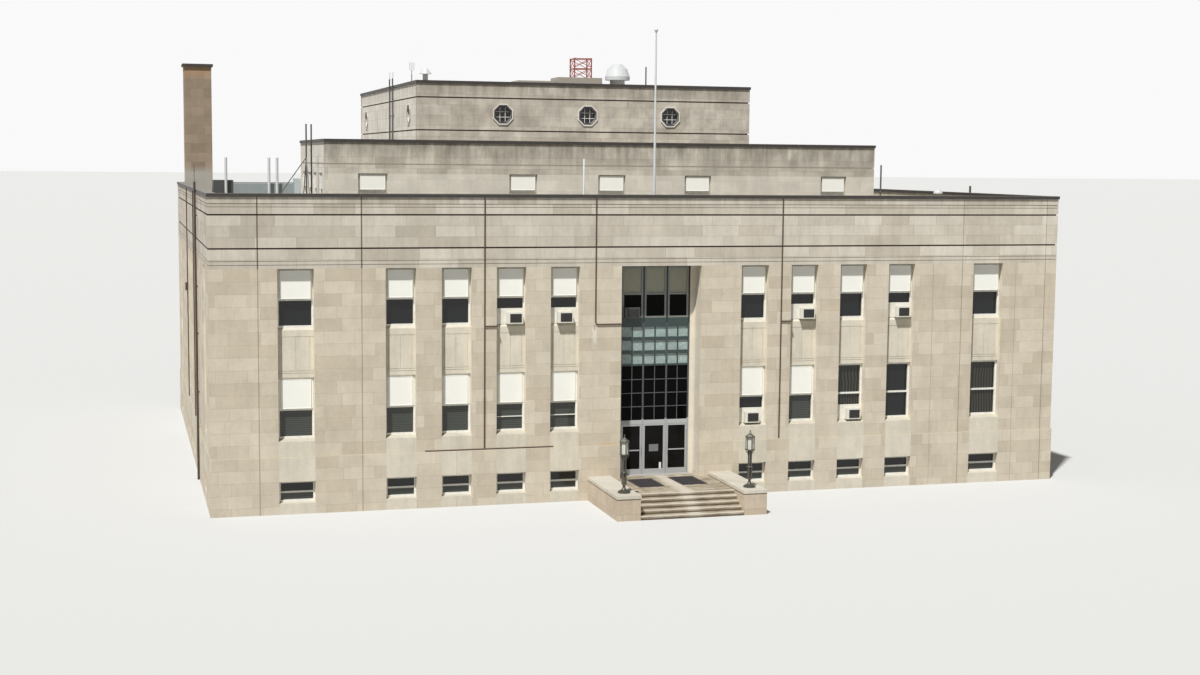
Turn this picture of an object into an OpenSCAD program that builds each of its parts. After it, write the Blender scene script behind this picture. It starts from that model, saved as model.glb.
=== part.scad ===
// Two-storey stone town hall over a raised basement, with two set-back upper tiers, a tall glazed
// entrance screen with two swinging doors, front steps between cheek walls, and two post lanterns.
// Units are millimetres, +Z is up, +Y runs from the front wall to the back wall.

/* [Main block] */
// Width of the front wall
front_w = 36600; // [34000:100:39000]
// Depth from the front face to the back face
block_d = 30200; // [28500:100:33000]
// Thickness of the outer walls
wall_t = 450; // [410:10:600]
// Thickness of the parapet above the roof
parapet_t = 300; // [250:10:380]
// How far the plinth stands proud of the wall
plinth_out = 40; // [20:5:60]
// Height of the top of the plinth
belt_z = 2290; // [2150:10:2500]
// Height of the stone wall above the upper window heads
wall_rise = 2790; // [2650:10:3400]
// How far the main roof lies under the top of the wall
roof_drop = 870; // [600:10:1100]
// Thickness of the roof slabs
roof_t = 300; // [200:10:350]

/* [Windows] */
// Distance from the middle of the front to the first window bay
first_bay = 4115; // [3900:5:4300]
// Distance between neighbouring window bays
bay_pitch = 2245; // [2100:5:2350]
// Window bays on each side of the entrance, without the end window
bays_n = 4; // [3:1:4]
// Distance from a corner to the middle of its end window
end_bay = 3324; // [2600:4:3500]
// Width of a window opening
win_w = 1220; // [1000:10:1400]
// Width of an end window opening
end_win_w = 1417; // [1200:1:1600]
// Depth of the window recesses
recess_d = 300; // [230:10:320]
// Depth of the recess of a basement window
base_recess_d = 150; // [100:10:220]
// Depth of the recess in front of a spandrel
spandrel_recess_d = 230; // [150:10:230]
// Sill of the lower storey
lower_sill = 2880; // [2700:10:3000]
// Head of the lower storey
lower_head = 5390; // [5200:10:5600]
// Sill of the upper storey
upper_sill = 7260; // [7100:10:7400]
// Head of the upper storey and of the entrance
upper_head = 9680; // [9400:10:9750]
// Sill of the basement windows
base_sill = 430; // [350:10:600]
// Head of the basement windows
base_head = 1300; // [1150:10:1500]
// Rise of a sloped sill from the wall face to the sash
sill_rise = 100; // [40:5:150]
// Width of the stiles and rails of a sash
sash_w = 75; // [50:5:100]
// Depth of a sash from front to back
sash_d = 70; // [40:5:90]
// Thickness of a pane
pane_t = 12; // [6:1:20]
// Share of a window's height at which its sashes meet
meeting = 0.47; // [0.4:0.01:0.6]

/* [Stone grooves] */
// Distance of the upper main groove above the window heads
groove_high_up = 2100; // [1900:10:2180]
// Distance of the lower main groove above the window heads
groove_low_up = 790; // [700:10:950]
// Height of a main groove
groove_h = 60; // [20:5:80]
// Depth of a main groove
groove_deep = 60; // [20:5:90]
// Distance of the first fine groove above the window heads
fine_groove_up = 150; // [120:10:220]
// Distance between the two fine grooves above the window heads
fine_groove_gap = 150; // [100:5:180]
// Distance of the lower fine groove under the top of the wall
top_groove_down = 390; // [330:10:450]
// Distance between the two fine grooves under the top of the wall
top_groove_gap = 120; // [90:5:180]
// Height and depth of a fine groove
fine_groove = 22; // [8:1:30]
// Width and depth of the lines cut in the spandrels
panel_line = 16; // [8:1:30]

/* [Copings] */
// Height of a metal coping
coping_h = 130; // [80:10:200]
// How far a coping stands out past the wall
coping_lip = 40; // [20:5:60]

/* [Floors] */
// Thickness of the basement floor
base_floor_t = 170; // [100:10:250]
// Upper face of the main floor
main_floor_z = 2100; // [1900:10:2250]
// Upper face of the second floor
second_floor_z = 6450; // [6200:10:6600]
// Thickness of the main and second floors
floor_t = 220; // [150:10:300]
// Joint left between neighbouring slabs and blocks
joint = 0.5; // [0.2:0.1:0.9]

/* [Entrance] */
// Width of the entrance opening at the wall face
entrance_w = 3446; // [3200:2:3700]
// Depth of the recess in front of the entrance screen
screen_y = 820; // [750:10:900]
// Half the width of the entrance screen
screen_half = 1520; // [1450:5:1560]
// Depth of the screen's posts from front to back
post_d = 100; // [80:5:120]
// Width of the screen's posts
post_w = 70; // [50:5:80]
// Distance from the middle of the screen to an inner post
inner_post_x = 510; // [480:5:540]
// Width of the stone jamb blocks behind the wall
jamb_w = 680; // [500:10:900]
// Depth of the entrance hall behind the screen
hall_d = 4000; // [2500:50:5000]
// Height of the stone lintel over the screen
lintel_h = 600; // [400:10:700]

/* [Doors] */
// Height of the door heads
door_head = 2970; // [2900:10:3050]
// Thickness of a door leaf
leaf_t = 45; // [35:1:55]
// Gap around a door leaf
leaf_gap = 7; // [6:0.5:12]
// How far a hinge axis stands out from the leaf's face
hinge_out = 14; // [13:1:20]
// Width of the stiles of a leaf
stile_w = 70; // [50:5:100]
// Height of the threshold
sill_h = 20; // [15:1:30]
// Height of the push bars above the landing
push_bar_h = 1020; // [900:10:1100]

/* [Steps] */
// Height of the landing
landing_z = 840; // [780:10:900]
// Number of risers up to the landing
risers = 5; // [4:1:6]
// Depth of a tread
tread_d = 280; // [260:5:320]
// Distance from the wall face to the landing's front edge
landing_d = 3200; // [2800:50:3600]
// Half the width of the steps
steps_half = 2150; // [2000:10:2300]
// Width of a cheek wall
cheek_w = 960; // [800:10:1100]
// Height of the cheek walls with their caps
cheek_z = 990; // [950:10:1150]
// Thickness of a cheek cap
cap_t = 120; // [80:5:150]
// How far the caps stand out past the cheek walls
cap_lip = 20; // [5:5:40]

/* [Lanterns] */
// Distance of a lantern from the front edge of its cheek wall
lantern_back = 720; // [500:10:1000]
// Height of a lantern from its foot to its finial
lantern_h = 2310; // [2100:10:2600]
// Diameter of a lantern's foot
foot_dia = 500; // [400:5:560]
// Diameter of each slender shaft
shaft_dia = 62; // [40:1:70]
// Distance of the shafts from the lantern's middle
shaft_r = 80; // [70:1:100]
// Width of the lantern across its corners
head_w = 400; // [340:5:450]
// Height of the lantern's head with its rims
head_h = 560; // [480:10:640]

/* [Second tier] */
// Width of the second tier
tier2_w = 25840; // [24800:20:26800]
// Distance of the second tier behind the front face
tier2_y = 7530; // [6500:10:8500]
// Depth of the second tier
tier2_d = 9870; // [9700:10:11000]
// Height of the second tier's walls above the top of the main wall
tier2_rise = 2210; // [2100:10:2500]
// Thickness of the walls of the upper tiers
tier_wall_t = 300; // [200:10:380]
// Distance of the second tier's window sills above the main roof
tier2_sill_up = 450; // [350:10:700]
// Height of the second tier's windows
tier2_win_h = 1280; // [1000:10:1400]
// Width of a window of the second tier
tier2_win_w = 1280; // [1000:10:1400]
// How far the roofs of the upper tiers lie under their parapets
tier_roof_drop = 280; // [200:10:400]
// Distance of the second tier's groove under the top of its walls
tier2_groove_down = 940; // [800:10:1100]

/* [Third tier] */
// Width of the third tier
tier3_w = 16360; // [15600:20:17000]
// Distance of the third tier behind the front face
tier3_y = 11740; // [11200:10:12500]
// Height of the third tier's walls above the top of the second tier's
tier3_rise = 2790; // [2600:10:3000]
// Distance of the middles of the octagon windows under the top of the walls
oct_down = 1380; // [1250:10:1500]
// Width of an octagon opening across its flats
oct_w = 760; // [600:10:820]
// Width of the raised border around an octagon
oct_border = 75; // [40:5:100]
// Distance from a corner to the side octagons
oct_end = 2240; // [1900:10:2600]
// Distance of the third tier's lower groove under the top of its walls
tier3_groove_low_down = 2150; // [2050:10:2300]
// Distance of the third tier's upper groove under the top of its walls
tier3_groove_high_down = 640; // [560:10:720]

/* [Chimney] */
// Width of the square chimney
chimney_w = 1430; // [1200:10:1600]
// Height of the chimney above the top of the main wall
chimney_rise = 6490; // [5500:10:7000]
// How far the cap stands out
chimney_lip = 90; // [50:10:150]

/* [Roof fittings] */
// Distance of the flagpole behind the front face
flag_y = 1200; // [900:10:1600]
// Height of the flagpole above the top of the main wall
flag_rise = 6980; // [6000:10:8000]
// Diameter of the flagpole at its foot
flag_dia = 120; // [90:5:160]
// Diameter of the mushroom ventilator's hood
hood_dia = 1250; // [1100:10:1400]
// Height of the mushroom ventilator above the third tier's roof
hood_rise = 1590; // [1450:10:1800]
// Diameter of the vent pipes and masts on the roofs
pole_dia = 70; // [50:5:90]
// Diameter of the downpipes on the side walls
downpipe_dia = 100; // [80:5:130]
// Distance of the downpipes behind the front face
downpipe_y = 8300; // [7000:50:9000]
// Width of a window air conditioner
cooler_w = 650; // [500:10:800]
// Height of a window air conditioner
cooler_h = 460; // [350:10:500]
// How far an air conditioner stands out of its window
cooler_out = 260; // [150:10:290]
// Diameter of the conduits on the walls
conduit_dia = 50; // [30:5:80]

/* [Hidden] */

stone = "#cdbfa3";
pale_stone = "#bfb5a0";
metal_dark = "#4a4640";
white_paint = "#e6e6e0";
bronze = "#5f6f60";
glass_tint = "#8fa0a4";
concrete = "#a8a49a";

big = 100000;
half_w = front_w / 2;
wall_top = upper_head + wall_rise;
roof_z = wall_top - roof_drop;
tier2_top = wall_top + tier2_rise;
tier2_sill = roof_z + tier2_sill_up;
tier2_head = tier2_sill + tier2_win_h;
tier3_top = tier2_top + tier3_rise;
oct_z = tier3_top - oct_down;
chimney_top = wall_top + chimney_rise;
flag_top = wall_top + flag_rise;
step_front = landing_d + (risers - 1) * tread_d;
cheek_front = step_front + cap_lip;
riser = landing_z / risers;
plan_mid = (block_d + max(coping_lip, plinth_out) - cheek_front - cap_lip) / 2;
end_x = half_w - end_bay;
side_end = block_d / 2 - end_bay;
side_half = block_d / 2 - wall_t;
tier2_half = tier2_w / 2;
tier2_back = tier2_y + tier2_d;
tier2_roof_z = tier2_top - tier_roof_drop;
tier3_half = tier3_w / 2;
tier3_roof_z = tier3_top - tier_roof_drop;
tier3_back = block_d - wall_t;
screen_back = screen_y + post_d;
jamb_over = 80;
jamb_back = screen_back + jamb_over;
post_inner = inner_post_x + post_w / 2;
post_outer = inner_post_x - post_w / 2;
post_edge = screen_half - post_w;
leaf_set = 5;
leaf_y = screen_y + leaf_set;
leaf_bottom = landing_z + sill_h + leaf_gap;
leaf_top = door_head - leaf_gap;

// Window rows: the middle and the width of each opening, along a wall from its middle
bay_steps = [for (i = [0:bays_n - 1]) first_bay + i * bay_pitch];
right_bays = concat([for (x = bay_steps) [x, win_w]], [[end_x, end_win_w]]);
left_bays = [for (i = [len(right_bays) - 1:-1:0]) [-right_bays[i][0], right_bays[i][1]]];
front_row = concat(left_bays, right_bays);
front_gaps = concat(left_bays, [[0, entrance_w]], right_bays);
back_row = concat(left_bays, [for (i = [-1:1]) [i * first_bay / 2, win_w]], right_bays);
side_row = concat([[-side_end, end_win_w]], [for (i = [-2:2]) [i * bay_pitch, win_w]],
    [[side_end, end_win_w]]);
tier2_front_row = [for (x = [-bay_steps[bays_n - 1], -first_bay, 0, first_bay, bay_steps[bays_n - 1]])
    [x, tier2_win_w]];
tier2_side_row = [for (i = [-1.5:1:1.5]) [i * bay_pitch, win_w]];

// Moves the plan from the middle of the front face to the middle of the whole plan
module site() translate([0, -plan_mid, 0]) children();

// Each wall frame has x along the wall from its middle, y inwards from its face
module on_front() children();
module on_back() translate([0, block_d, 0]) rotate(180) children();
module on_left() translate([-half_w, block_d / 2, 0]) rotate(-90) children();
module on_right() translate([half_w, block_d / 2, 0]) rotate(90) children();

// A box from its low corner to its high corner
module block(low, high) translate(low) cube(high - low);

// A cross-section in y and z carried along x
module run(x0, x1) translate([x0, 0, 0]) rotate([90, 0, 90]) linear_extrude(x1 - x0) children();

module both_sides() {
    children();
    mirror([1, 0, 0]) children();
}

// The wall between the openings of a row, from the ground to the upper window heads
module pier_row(row, half_len) {
    for (k = [0:len(row)])
        let (x0 = k == 0 ? -half_len : row[k - 1][0] + row[k - 1][1] / 2,
             x1 = k == len(row) ? half_len : row[k][0] - row[k][1] / 2)
        run(x0, x1) polygon([[-plinth_out, 0], [-plinth_out, belt_z], [0, belt_z], [0, upper_head],
            [wall_t, upper_head], [wall_t, 0]]);
}

// The plinth turned round a corner of the front or back wall
module corner_plinths() both_sides()
    block([half_w, -plinth_out, 0], [half_w + plinth_out, wall_t, belt_z]);

module front_piers() color(stone) site() on_front() {
    pier_row(front_gaps, half_w);
    corner_plinths();
}

module back_piers() color(stone) site() on_back() {
    pier_row(back_row, half_w);
    corner_plinths();
}

module side_piers() color(stone) site() {
    on_left() pier_row(side_row, side_half);
    on_right() pier_row(side_row, side_half);
}

// What stands in every window bay of the four outer walls
module bays_all_round() {
    on_front() for (o = front_row) let ($x = o[0], $w = o[1]) children();
    on_back() for (o = back_row) let ($x = o[0], $w = o[1]) children();
    on_left() for (o = side_row) let ($x = o[0], $w = o[1]) children();
    on_right() for (o = side_row) let ($x = o[0], $w = o[1]) children();
}

module aprons() color(stone) site() bays_all_round() {
    run($x - $w / 2, $x + $w / 2) polygon([[-plinth_out, base_head], [-plinth_out, belt_z],
        [0, belt_z], [0, lower_sill], [recess_d, lower_sill + sill_rise],
        [wall_t, lower_sill + sill_rise], [wall_t, base_head]]);
    run($x - $w / 2, $x + $w / 2) polygon([[-plinth_out, 0], [-plinth_out, base_sill],
        [base_recess_d, base_sill + sill_rise / 2], [wall_t, base_sill + sill_rise / 2], [wall_t, 0]]);
}

// A spandrel has level lines cut near its foot and its top, and upright lines between them
panel_rim = 260;
panel_line_gap = 90;
panel_share = 0.385;
panel_levels = [lower_head + panel_rim - panel_line_gap, lower_head + panel_rim, upper_sill - panel_rim];

module spandrels() color(stone) site() bays_all_round() difference() {
    run($x - $w / 2, $x + $w / 2) polygon([[spandrel_recess_d, lower_head], [spandrel_recess_d, upper_sill],
        [recess_d, upper_sill + sill_rise], [wall_t, upper_sill + sill_rise], [wall_t, lower_head]]);
    for (z = panel_levels) translate([$x - $w, spandrel_recess_d - panel_line, z - panel_line / 2])
        cube([2 * $w, 2 * panel_line, panel_line]);
    for (side = [-1:1])
        translate([$x + side * panel_share * $w, spandrel_recess_d - panel_line, panel_levels[1]])
            cube([panel_line, 2 * panel_line, panel_levels[2] - panel_levels[1]]);
}

// A groove cut round the outside of a rectangular tier, given its plan
module groove_round(half_x, y0, y1, z, h, deep) difference() {
    block([-half_x - big, y0 - big, z - h / 2], [half_x + big, y1 + big, z + h / 2]);
    block([-half_x + deep, y0 + deep, z - h], [half_x - deep, y1 - deep, z + h]);
}

main_levels = [for (up = [groove_low_up, groove_high_up]) upper_head + up];
head_levels = [for (i = [0:1]) upper_head + fine_groove_up + i * fine_groove_gap];
top_levels = [for (i = [0:1]) wall_top - top_groove_down + i * top_groove_gap];

module main_grooves() {
    for (z = main_levels) groove_round(half_w, 0, block_d, z, groove_h, groove_deep);
    for (z = concat(head_levels, top_levels))
        groove_round(half_w, 0, block_d, z, fine_groove, fine_groove);
}

module frieze_section() polygon([[0, upper_head], [0, wall_top], [parapet_t, wall_top],
    [parapet_t, roof_z], [wall_t, roof_z], [wall_t, upper_head]]);

module front_frieze() color(stone) site() difference() {
    on_front() run(-half_w, half_w) frieze_section();
    main_grooves();
}

module back_frieze() color(stone) site() difference() {
    on_back() {
        run(-half_w, half_w) frieze_section();
        block([-tier3_half, parapet_t, roof_z], [tier3_half, wall_t, wall_top]);
    }
    main_grooves();
}

module side_frieze() {
    block([-side_half, 0, upper_head], [side_half, wall_t, roof_z]);
    block([-block_d / 2 + parapet_t, 0, roof_z], [block_d / 2 - parapet_t, parapet_t, wall_top]);
}

module side_friezes() color(stone) site() difference() {
    union() {
        on_left() side_frieze();
        on_right() side_frieze();
    }
    main_grooves();
}

// A run of metal coping over a wall that is t thick, from x0 to x1
module coping(x0, x1, t, z) block([x0, -coping_lip, z], [x1, t + coping_lip, z + coping_h]);

module long_copings() color(metal_dark) site() {
    coping(-half_w - coping_lip, half_w + coping_lip, parapet_t, wall_top);
    on_back() both_sides() coping(tier3_half, half_w + coping_lip, parapet_t, wall_top);
    translate([0, tier2_y, 0])
        coping(-tier2_half - coping_lip, tier2_half + coping_lip, tier_wall_t, tier2_top);
    translate([0, tier2_back, 0]) rotate(180) both_sides()
        coping(tier3_half, tier2_half + coping_lip, tier_wall_t, tier2_top);
    translate([0, tier3_y, 0])
        coping(-tier3_half - coping_lip, tier3_half + coping_lip, tier_wall_t, tier3_top);
    translate([0, block_d, 0]) rotate(180)
        coping(-tier3_half - coping_lip, tier3_half + coping_lip, wall_t, tier3_top);
    chimney_cap();
}

// Copings along the sides of a tier that runs from y0 to y1, between its front and back copings
module side_coping_pair(half_x, y0, y1, t, z)
    both_sides() block([half_x - t - coping_lip, y0, z], [half_x + coping_lip, y1, z + coping_h]);

module side_copings() color(metal_dark) site() {
    side_coping_pair(half_w, parapet_t + coping_lip, block_d - parapet_t - coping_lip, parapet_t, wall_top);
    side_coping_pair(tier2_half, tier2_y + tier_wall_t + coping_lip, tier2_back - tier_wall_t - coping_lip,
        tier_wall_t, tier2_top);
    side_coping_pair(tier3_half, tier3_y + tier_wall_t + coping_lip, tier3_back - coping_lip,
        tier_wall_t, tier3_top);
}

module basement_floor() color(concrete) site()
    block([-half_w + wall_t, wall_t, 0], [half_w - wall_t, block_d - wall_t, base_floor_t]);

module entrance_floor() color(concrete) site() {
    block([-screen_half, wall_t, base_floor_t], [screen_half, jamb_back - joint, landing_z]);
    block([-screen_half - jamb_w, jamb_back, base_floor_t],
        [screen_half + jamb_w, jamb_back + hall_d, landing_z]);
}

// A floor slab in three parts round a place left open behind the entrance
module floor_round(z, open_back) {
    hole = screen_half + jamb_w;
    both_sides() block([hole, wall_t, z - floor_t], [half_w - wall_t, block_d - wall_t, z]);
    block([-hole + joint, open_back, z - floor_t], [hole - joint, block_d - wall_t, z]);
}

module main_floor() color(concrete) site() floor_round(main_floor_z, jamb_back + hall_d);

module second_floor() color(concrete) site() floor_round(second_floor_z, jamb_back);

module roof_deck() color(concrete) site()
    block([-half_w + wall_t, wall_t, roof_z - roof_t], [half_w - wall_t, block_d - wall_t, roof_z]);

// A sash frame with a meeting rail, its low left front corner at the origin
module sash(w, h, share) difference() {
    cube([w, sash_d, h]);
    translate([sash_w, -1, sash_w])
        cube([w - 2 * sash_w, sash_d + 2, h * share - 1.5 * sash_w]);
    translate([sash_w, -1, h * share + sash_w / 2])
        cube([w - 2 * sash_w, sash_d + 2, h * (1 - share) - 1.5 * sash_w]);
}

module sash_row(z0, z1, y, share) bays_all_round()
    translate([$x - $w / 2, y, z0]) sash($w, z1 - z0, share);

module upper_sashes() color(white_paint) site() {
    sash_row(upper_sill + sill_rise, upper_head, recess_d, meeting);
    for (b = screen_bays) translate([b[0], screen_sash_y, screen_sill])
        sash(b[1] - b[0], screen_head - screen_sill, meeting);
}

module lower_sashes() color(white_paint) site()
    sash_row(lower_sill + sill_rise, lower_head, recess_d, meeting);

module basement_sashes() color(white_paint) site()
    sash_row(base_sill + sill_rise / 2, base_head, base_recess_d, meeting);

module pane_row(z0, z1, y) bays_all_round()
    block([$x - $w / 2 + sash_w / 2, y + sash_d, z0 + sash_w / 2],
        [$x + $w / 2 - sash_w / 2, y + sash_d + pane_t, z1 - sash_w / 2]);

module window_panes() color(glass_tint) site() {
    pane_row(upper_sill + sill_rise, upper_head, recess_d);
    pane_row(lower_sill + sill_rise, lower_head, recess_d);
    pane_row(base_sill + sill_rise / 2, base_head, base_recess_d);
    tier2_bays() tier2_pane();
    octagon_bays() oct_at($x, oct_back, oct_back + pane_t, oct_w - oct_frame_w);
}

// Stone jambs that turn in to the screen with a quarter-round hollow, and the lintel over it
cove_r = entrance_w / 2 - screen_half;

module jamb_plan() difference() {
    translate([screen_half, wall_t]) square([jamb_w, jamb_back - wall_t]);
    translate([screen_half, 0]) square([cove_r, screen_y - cove_r]);
    translate([screen_half, screen_y - cove_r]) circle(r = cove_r, $fn = 64);
}

module entrance_surround() color(stone) site() {
    both_sides() translate([0, 0, base_floor_t])
        linear_extrude(upper_head - base_floor_t - joint) jamb_plan();
    block([-screen_half - jamb_w, wall_t, upper_head],
        [screen_half + jamb_w, jamb_back, upper_head + lintel_h]);
}

// The entrance screen: four posts, with rails, glazing bars, sashes and panes between them. From the
// landing up: the leaves, tall lights, rows of rough panes, a plain band and sash windows.
transom_h = 170;
bar_h = 80;
bar_z = lower_head + 50;
rough_rows = 3;
rough_rail_h = 144;
band_z = upper_sill - 180;
band_h = 380;
head_rail_h = 80;
screen_sill = band_z + band_h;
screen_head = upper_head - head_rail_h;
tall_foot = door_head + transom_h;
rough_h = (band_z - bar_z - bar_h - (rough_rows - 1) * rough_rail_h) / rough_rows;
rough_feet = [for (k = [0:rough_rows - 1]) bar_z + bar_h + k * (rough_h + rough_rail_h)];
rail_levels = concat(
    [[landing_z, landing_z + sill_h], [door_head, tall_foot], [bar_z, bar_z + bar_h]],
    [for (k = [1:rough_rows - 1]) [rough_feet[k] - rough_rail_h, rough_feet[k]]],
    [[band_z, screen_sill], [screen_head, upper_head]]);
muntin_w = 30;
muntin_d = 25;
rough_bar_w = 50;
tall_lights = 4;
pane_set = 40;
pane_y = screen_y + pane_set;
screen_sash_y = screen_y + 10;
screen_bays = [[-post_edge, -post_inner], [-post_outer, post_outer], [post_inner, post_edge]];

// Hinges: barrels round one axis in front of the leaf, the middle one on the leaf and the others on the post
hinge_x = post_edge - leaf_gap / 2;
hinge_y = leaf_y - hinge_out;
barrel_h = 45;
barrel_dia = 16;
barrel_gap = 0.3;
strap_w = 25;
hinge_levels = [for (share = [0.12, 0.5, 0.88]) leaf_bottom + share * (leaf_top - leaf_bottom)];

module barrel(z) translate([hinge_x, hinge_y, z]) cylinder(d = barrel_dia, h = barrel_h, $fn = 24);

module post_barrels() for (z = hinge_levels, side = [-1, 1])
    let (low = z - barrel_h / 2 + side * (barrel_h + barrel_gap)) {
        barrel(low);
        block([hinge_x + leaf_gap / 2, hinge_y, low],
            [hinge_x + leaf_gap / 2 + strap_w, screen_y, low + barrel_h]);
    }

module leaf_barrels() for (z = hinge_levels) {
    barrel(z - barrel_h / 2);
    block([hinge_x - leaf_gap / 2 - strap_w, hinge_y, z - barrel_h / 2],
        [hinge_x - leaf_gap / 2, leaf_y, z + barrel_h / 2]);
}

module screen_posts() color(bronze) site() both_sides() {
    block([post_edge, screen_y, landing_z], [screen_half, screen_back, upper_head]);
    block([post_outer, screen_y, landing_z], [post_inner, screen_back, upper_head]);
    post_barrels();
}

// A glazing bar in front of the panes, from one corner to the other of its face
module bar(x0, x1, z0, z1) block([x0, pane_y - muntin_d, z0], [x1, pane_y, z1]);

module screen_rails() color(bronze) site() for (b = screen_bays) let (mid = (b[0] + b[1]) / 2) {
    for (r = rail_levels) block([b[0], screen_y, r[0]], [b[1], screen_back, r[1]]);
    for (z = rough_feet) bar(mid - rough_bar_w / 2, mid + rough_bar_w / 2, z, z + rough_h);
}

module screen_muntins() color(bronze) site() for (b = screen_bays) let (mid = (b[0] + b[1]) / 2) {
    bar(mid - muntin_w / 2, mid + muntin_w / 2, tall_foot, bar_z);
    for (k = [1:tall_lights - 1]) let (z = tall_foot + k * (bar_z - tall_foot) / tall_lights)
        bar(b[0], b[1], z - muntin_w / 2, z + muntin_w / 2);
}

module screen_panes() color(glass_tint) site() {
    for (b = screen_bays) {
        block([b[0], pane_y, tall_foot], [b[1], pane_y + pane_t, bar_z]);
        block([b[0] + sash_w / 2, screen_sash_y + sash_d, screen_sill + sash_w / 2],
            [b[1] - sash_w / 2, screen_sash_y + sash_d + pane_t, screen_head - sash_w / 2]);
    }
    at_fixed_leaf() leaf_light(2 * post_outer, fixed_h, leaf_t / 2 - pane_t / 2, leaf_t / 2 + pane_t / 2);
}

module rough_panes() color("#8fa893") site() for (b = screen_bays, z = rough_feet)
    block([b[0], pane_y, z], [b[1], pane_y + pane_t, z + rough_h]);

// A glazed leaf, its low hinge-side front corner at the origin
leaf_w = post_edge - post_inner - 2 * leaf_gap;
leaf_h = leaf_top - leaf_bottom;
fixed_h = door_head - landing_z - sill_h;
kick_h = 200;
bar_dia = 32;
bar_foot_dia = 24;
bar_off = 50;
pull_dia = 26;
pull_foot_dia = 18;
pull_off = 45;
pull_h = 340;

// The light of a leaf w wide and h high, from y0 to y1 in its thickness
module leaf_light(w, h, y0, y1) block([stile_w, y0, kick_h], [w - stile_w, y1, h - stile_w]);

module leaf(w, h) difference() {
    cube([w, leaf_t, h]);
    leaf_light(w, h, -1, leaf_t + 1);
}

module leaf_pane() leaf_light(leaf_w, leaf_h, leaf_t / 2 - pane_t / 2, leaf_t / 2 + pane_t / 2);

// A push bar across the inside and a pull handle on the outside, at the free side
module leaf_bars() {
    z = landing_z + push_bar_h - leaf_bottom;
    free_x = leaf_w - stile_w / 2;
    for (x = [stile_w / 2, free_x])
        translate([x, leaf_t, z]) rotate([-90, 0, 0]) cylinder(d = bar_foot_dia, h = bar_off, $fn = 24);
    translate([stile_w / 4, leaf_t + bar_off, z]) rotate([0, 90, 0])
        cylinder(d = bar_dia, h = leaf_w - stile_w / 2, $fn = 24);
    for (side = [-1, 1]) translate([free_x, -pull_off, z + side * pull_h * 0.38]) rotate([-90, 0, 0])
        cylinder(d = pull_foot_dia, h = pull_off, $fn = 24);
    translate([free_x, -pull_off, z - pull_h / 2]) cylinder(d = pull_dia, h = pull_h, $fn = 24);
}

module at_left_door() translate([-post_edge + leaf_gap, leaf_y, leaf_bottom]) children();

module left_leaf() {
    at_left_door() {
        leaf(leaf_w, leaf_h);
        leaf_bars();
    }
    mirror([1, 0, 0]) leaf_barrels();
}

module left_door() color("silver") site() left_leaf();

module left_door_pane() color(glass_tint) site() at_left_door() leaf_pane();

module right_door() color("silver") site() mirror([1, 0, 0]) left_leaf();

module right_door_pane() color(glass_tint) site() mirror([1, 0, 0]) at_left_door() leaf_pane();

// The middle leaf is fixed between the inner posts
module at_fixed_leaf() translate([-post_outer, leaf_y, landing_z + sill_h]) children();

module fixed_leaf() color("silver") site() at_fixed_leaf() leaf(2 * post_outer, fixed_h);

module steps() color(pale_stone) site() {
    block([-entrance_w / 2, -plinth_out, 0], [entrance_w / 2, wall_t - joint, landing_z]);
    block([-steps_half, -landing_d, 0], [steps_half, -plinth_out - joint, landing_z]);
    for (k = [1:risers - 1]) block([-steps_half, -landing_d - k * tread_d, 0],
        [steps_half, -landing_d - (k - 1) * tread_d - joint, landing_z - k * riser]);
}

module cheek_walls() color(stone) site() both_sides()
    block([steps_half, -cheek_front, 0], [steps_half + cheek_w, -plinth_out, cheek_z - cap_t]);

module cheek_caps() color(pale_stone) site() both_sides()
    block([steps_half - cap_lip, -cheek_front - cap_lip, cheek_z - cap_t],
        [steps_half + cheek_w + cap_lip, -plinth_out, cheek_z]);

// Post lanterns: a round foot, four flared legs, a cluster of four shafts with a knot and a collar, ring
// brackets, and a six-sided head under a low roof with a finial
module at_lanterns() site() both_sides()
    translate([steps_half + cheek_w / 2, -cheek_front + lantern_back, cheek_z]) children();

foot_h = 120;
leg_h = 120;
leg_foot_r = 130;
leg_top_r = 60;
neck_r = 50;
leg_slot = 70;
knot_z = 300;
knot_h = 60;
knot_r = 80;
bracket_h = 190;
ring_dia = 114;
ring_t = 18;
core_lip = 10;
ring_x = head_w * 0.42 - ring_dia / 2;
roof_h = 80;
dome_r = 70;
finial_h = 100;
finial_ball = 60;
shaft_top = lantern_h - finial_h - dome_r - roof_h - head_h - bracket_h;
collar_z = 0.61 * shaft_top;
collar_h = 50;
upper_dia = shaft_dia * 0.75;
upper_r = shaft_r * 0.8;
rim_t = 45;
corner_dia = 26;

// Points on an arc from angle a to angle b
function arc(x, y, r, a, b) =
    [for (i = [0:8]) let (t = a + i * (b - a) / 8) [x + r * cos(t), y + r * sin(t)]];

// A turned ring with a half-round edge
module bead(r, h) rotate_extrude($fn = 48)
    polygon(concat([[0, 0]], arc(r - h / 2, h / 2, h / 2, -90, 90), [[0, h]]));

// Four shafts round the middle, from z0 to z1
module cluster(r, d, z0, z1) for (a = [45:90:315]) rotate(a) translate([r, 0, z0])
    cylinder(d = d, h = z1 - z0, $fn = 24);

// The flare between the legs' feet and their tops is an arc
flare = leg_foot_r - leg_top_r;
flare_r = (flare * flare + leg_h * leg_h) / (2 * flare);

module lantern_legs() difference() {
    rotate_extrude($fn = 48) polygon(concat([[0, 0]],
        arc(leg_top_r + flare_r, leg_h, flare_r, 180 + asin(leg_h / flare_r), 180), [[0, leg_h]]));
    for (a = [0, 90]) rotate(a) translate([-big / 2, -leg_slot / 2, leg_h * 0.15])
        cube([big, leg_slot, leg_h * 0.6]);
}

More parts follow.
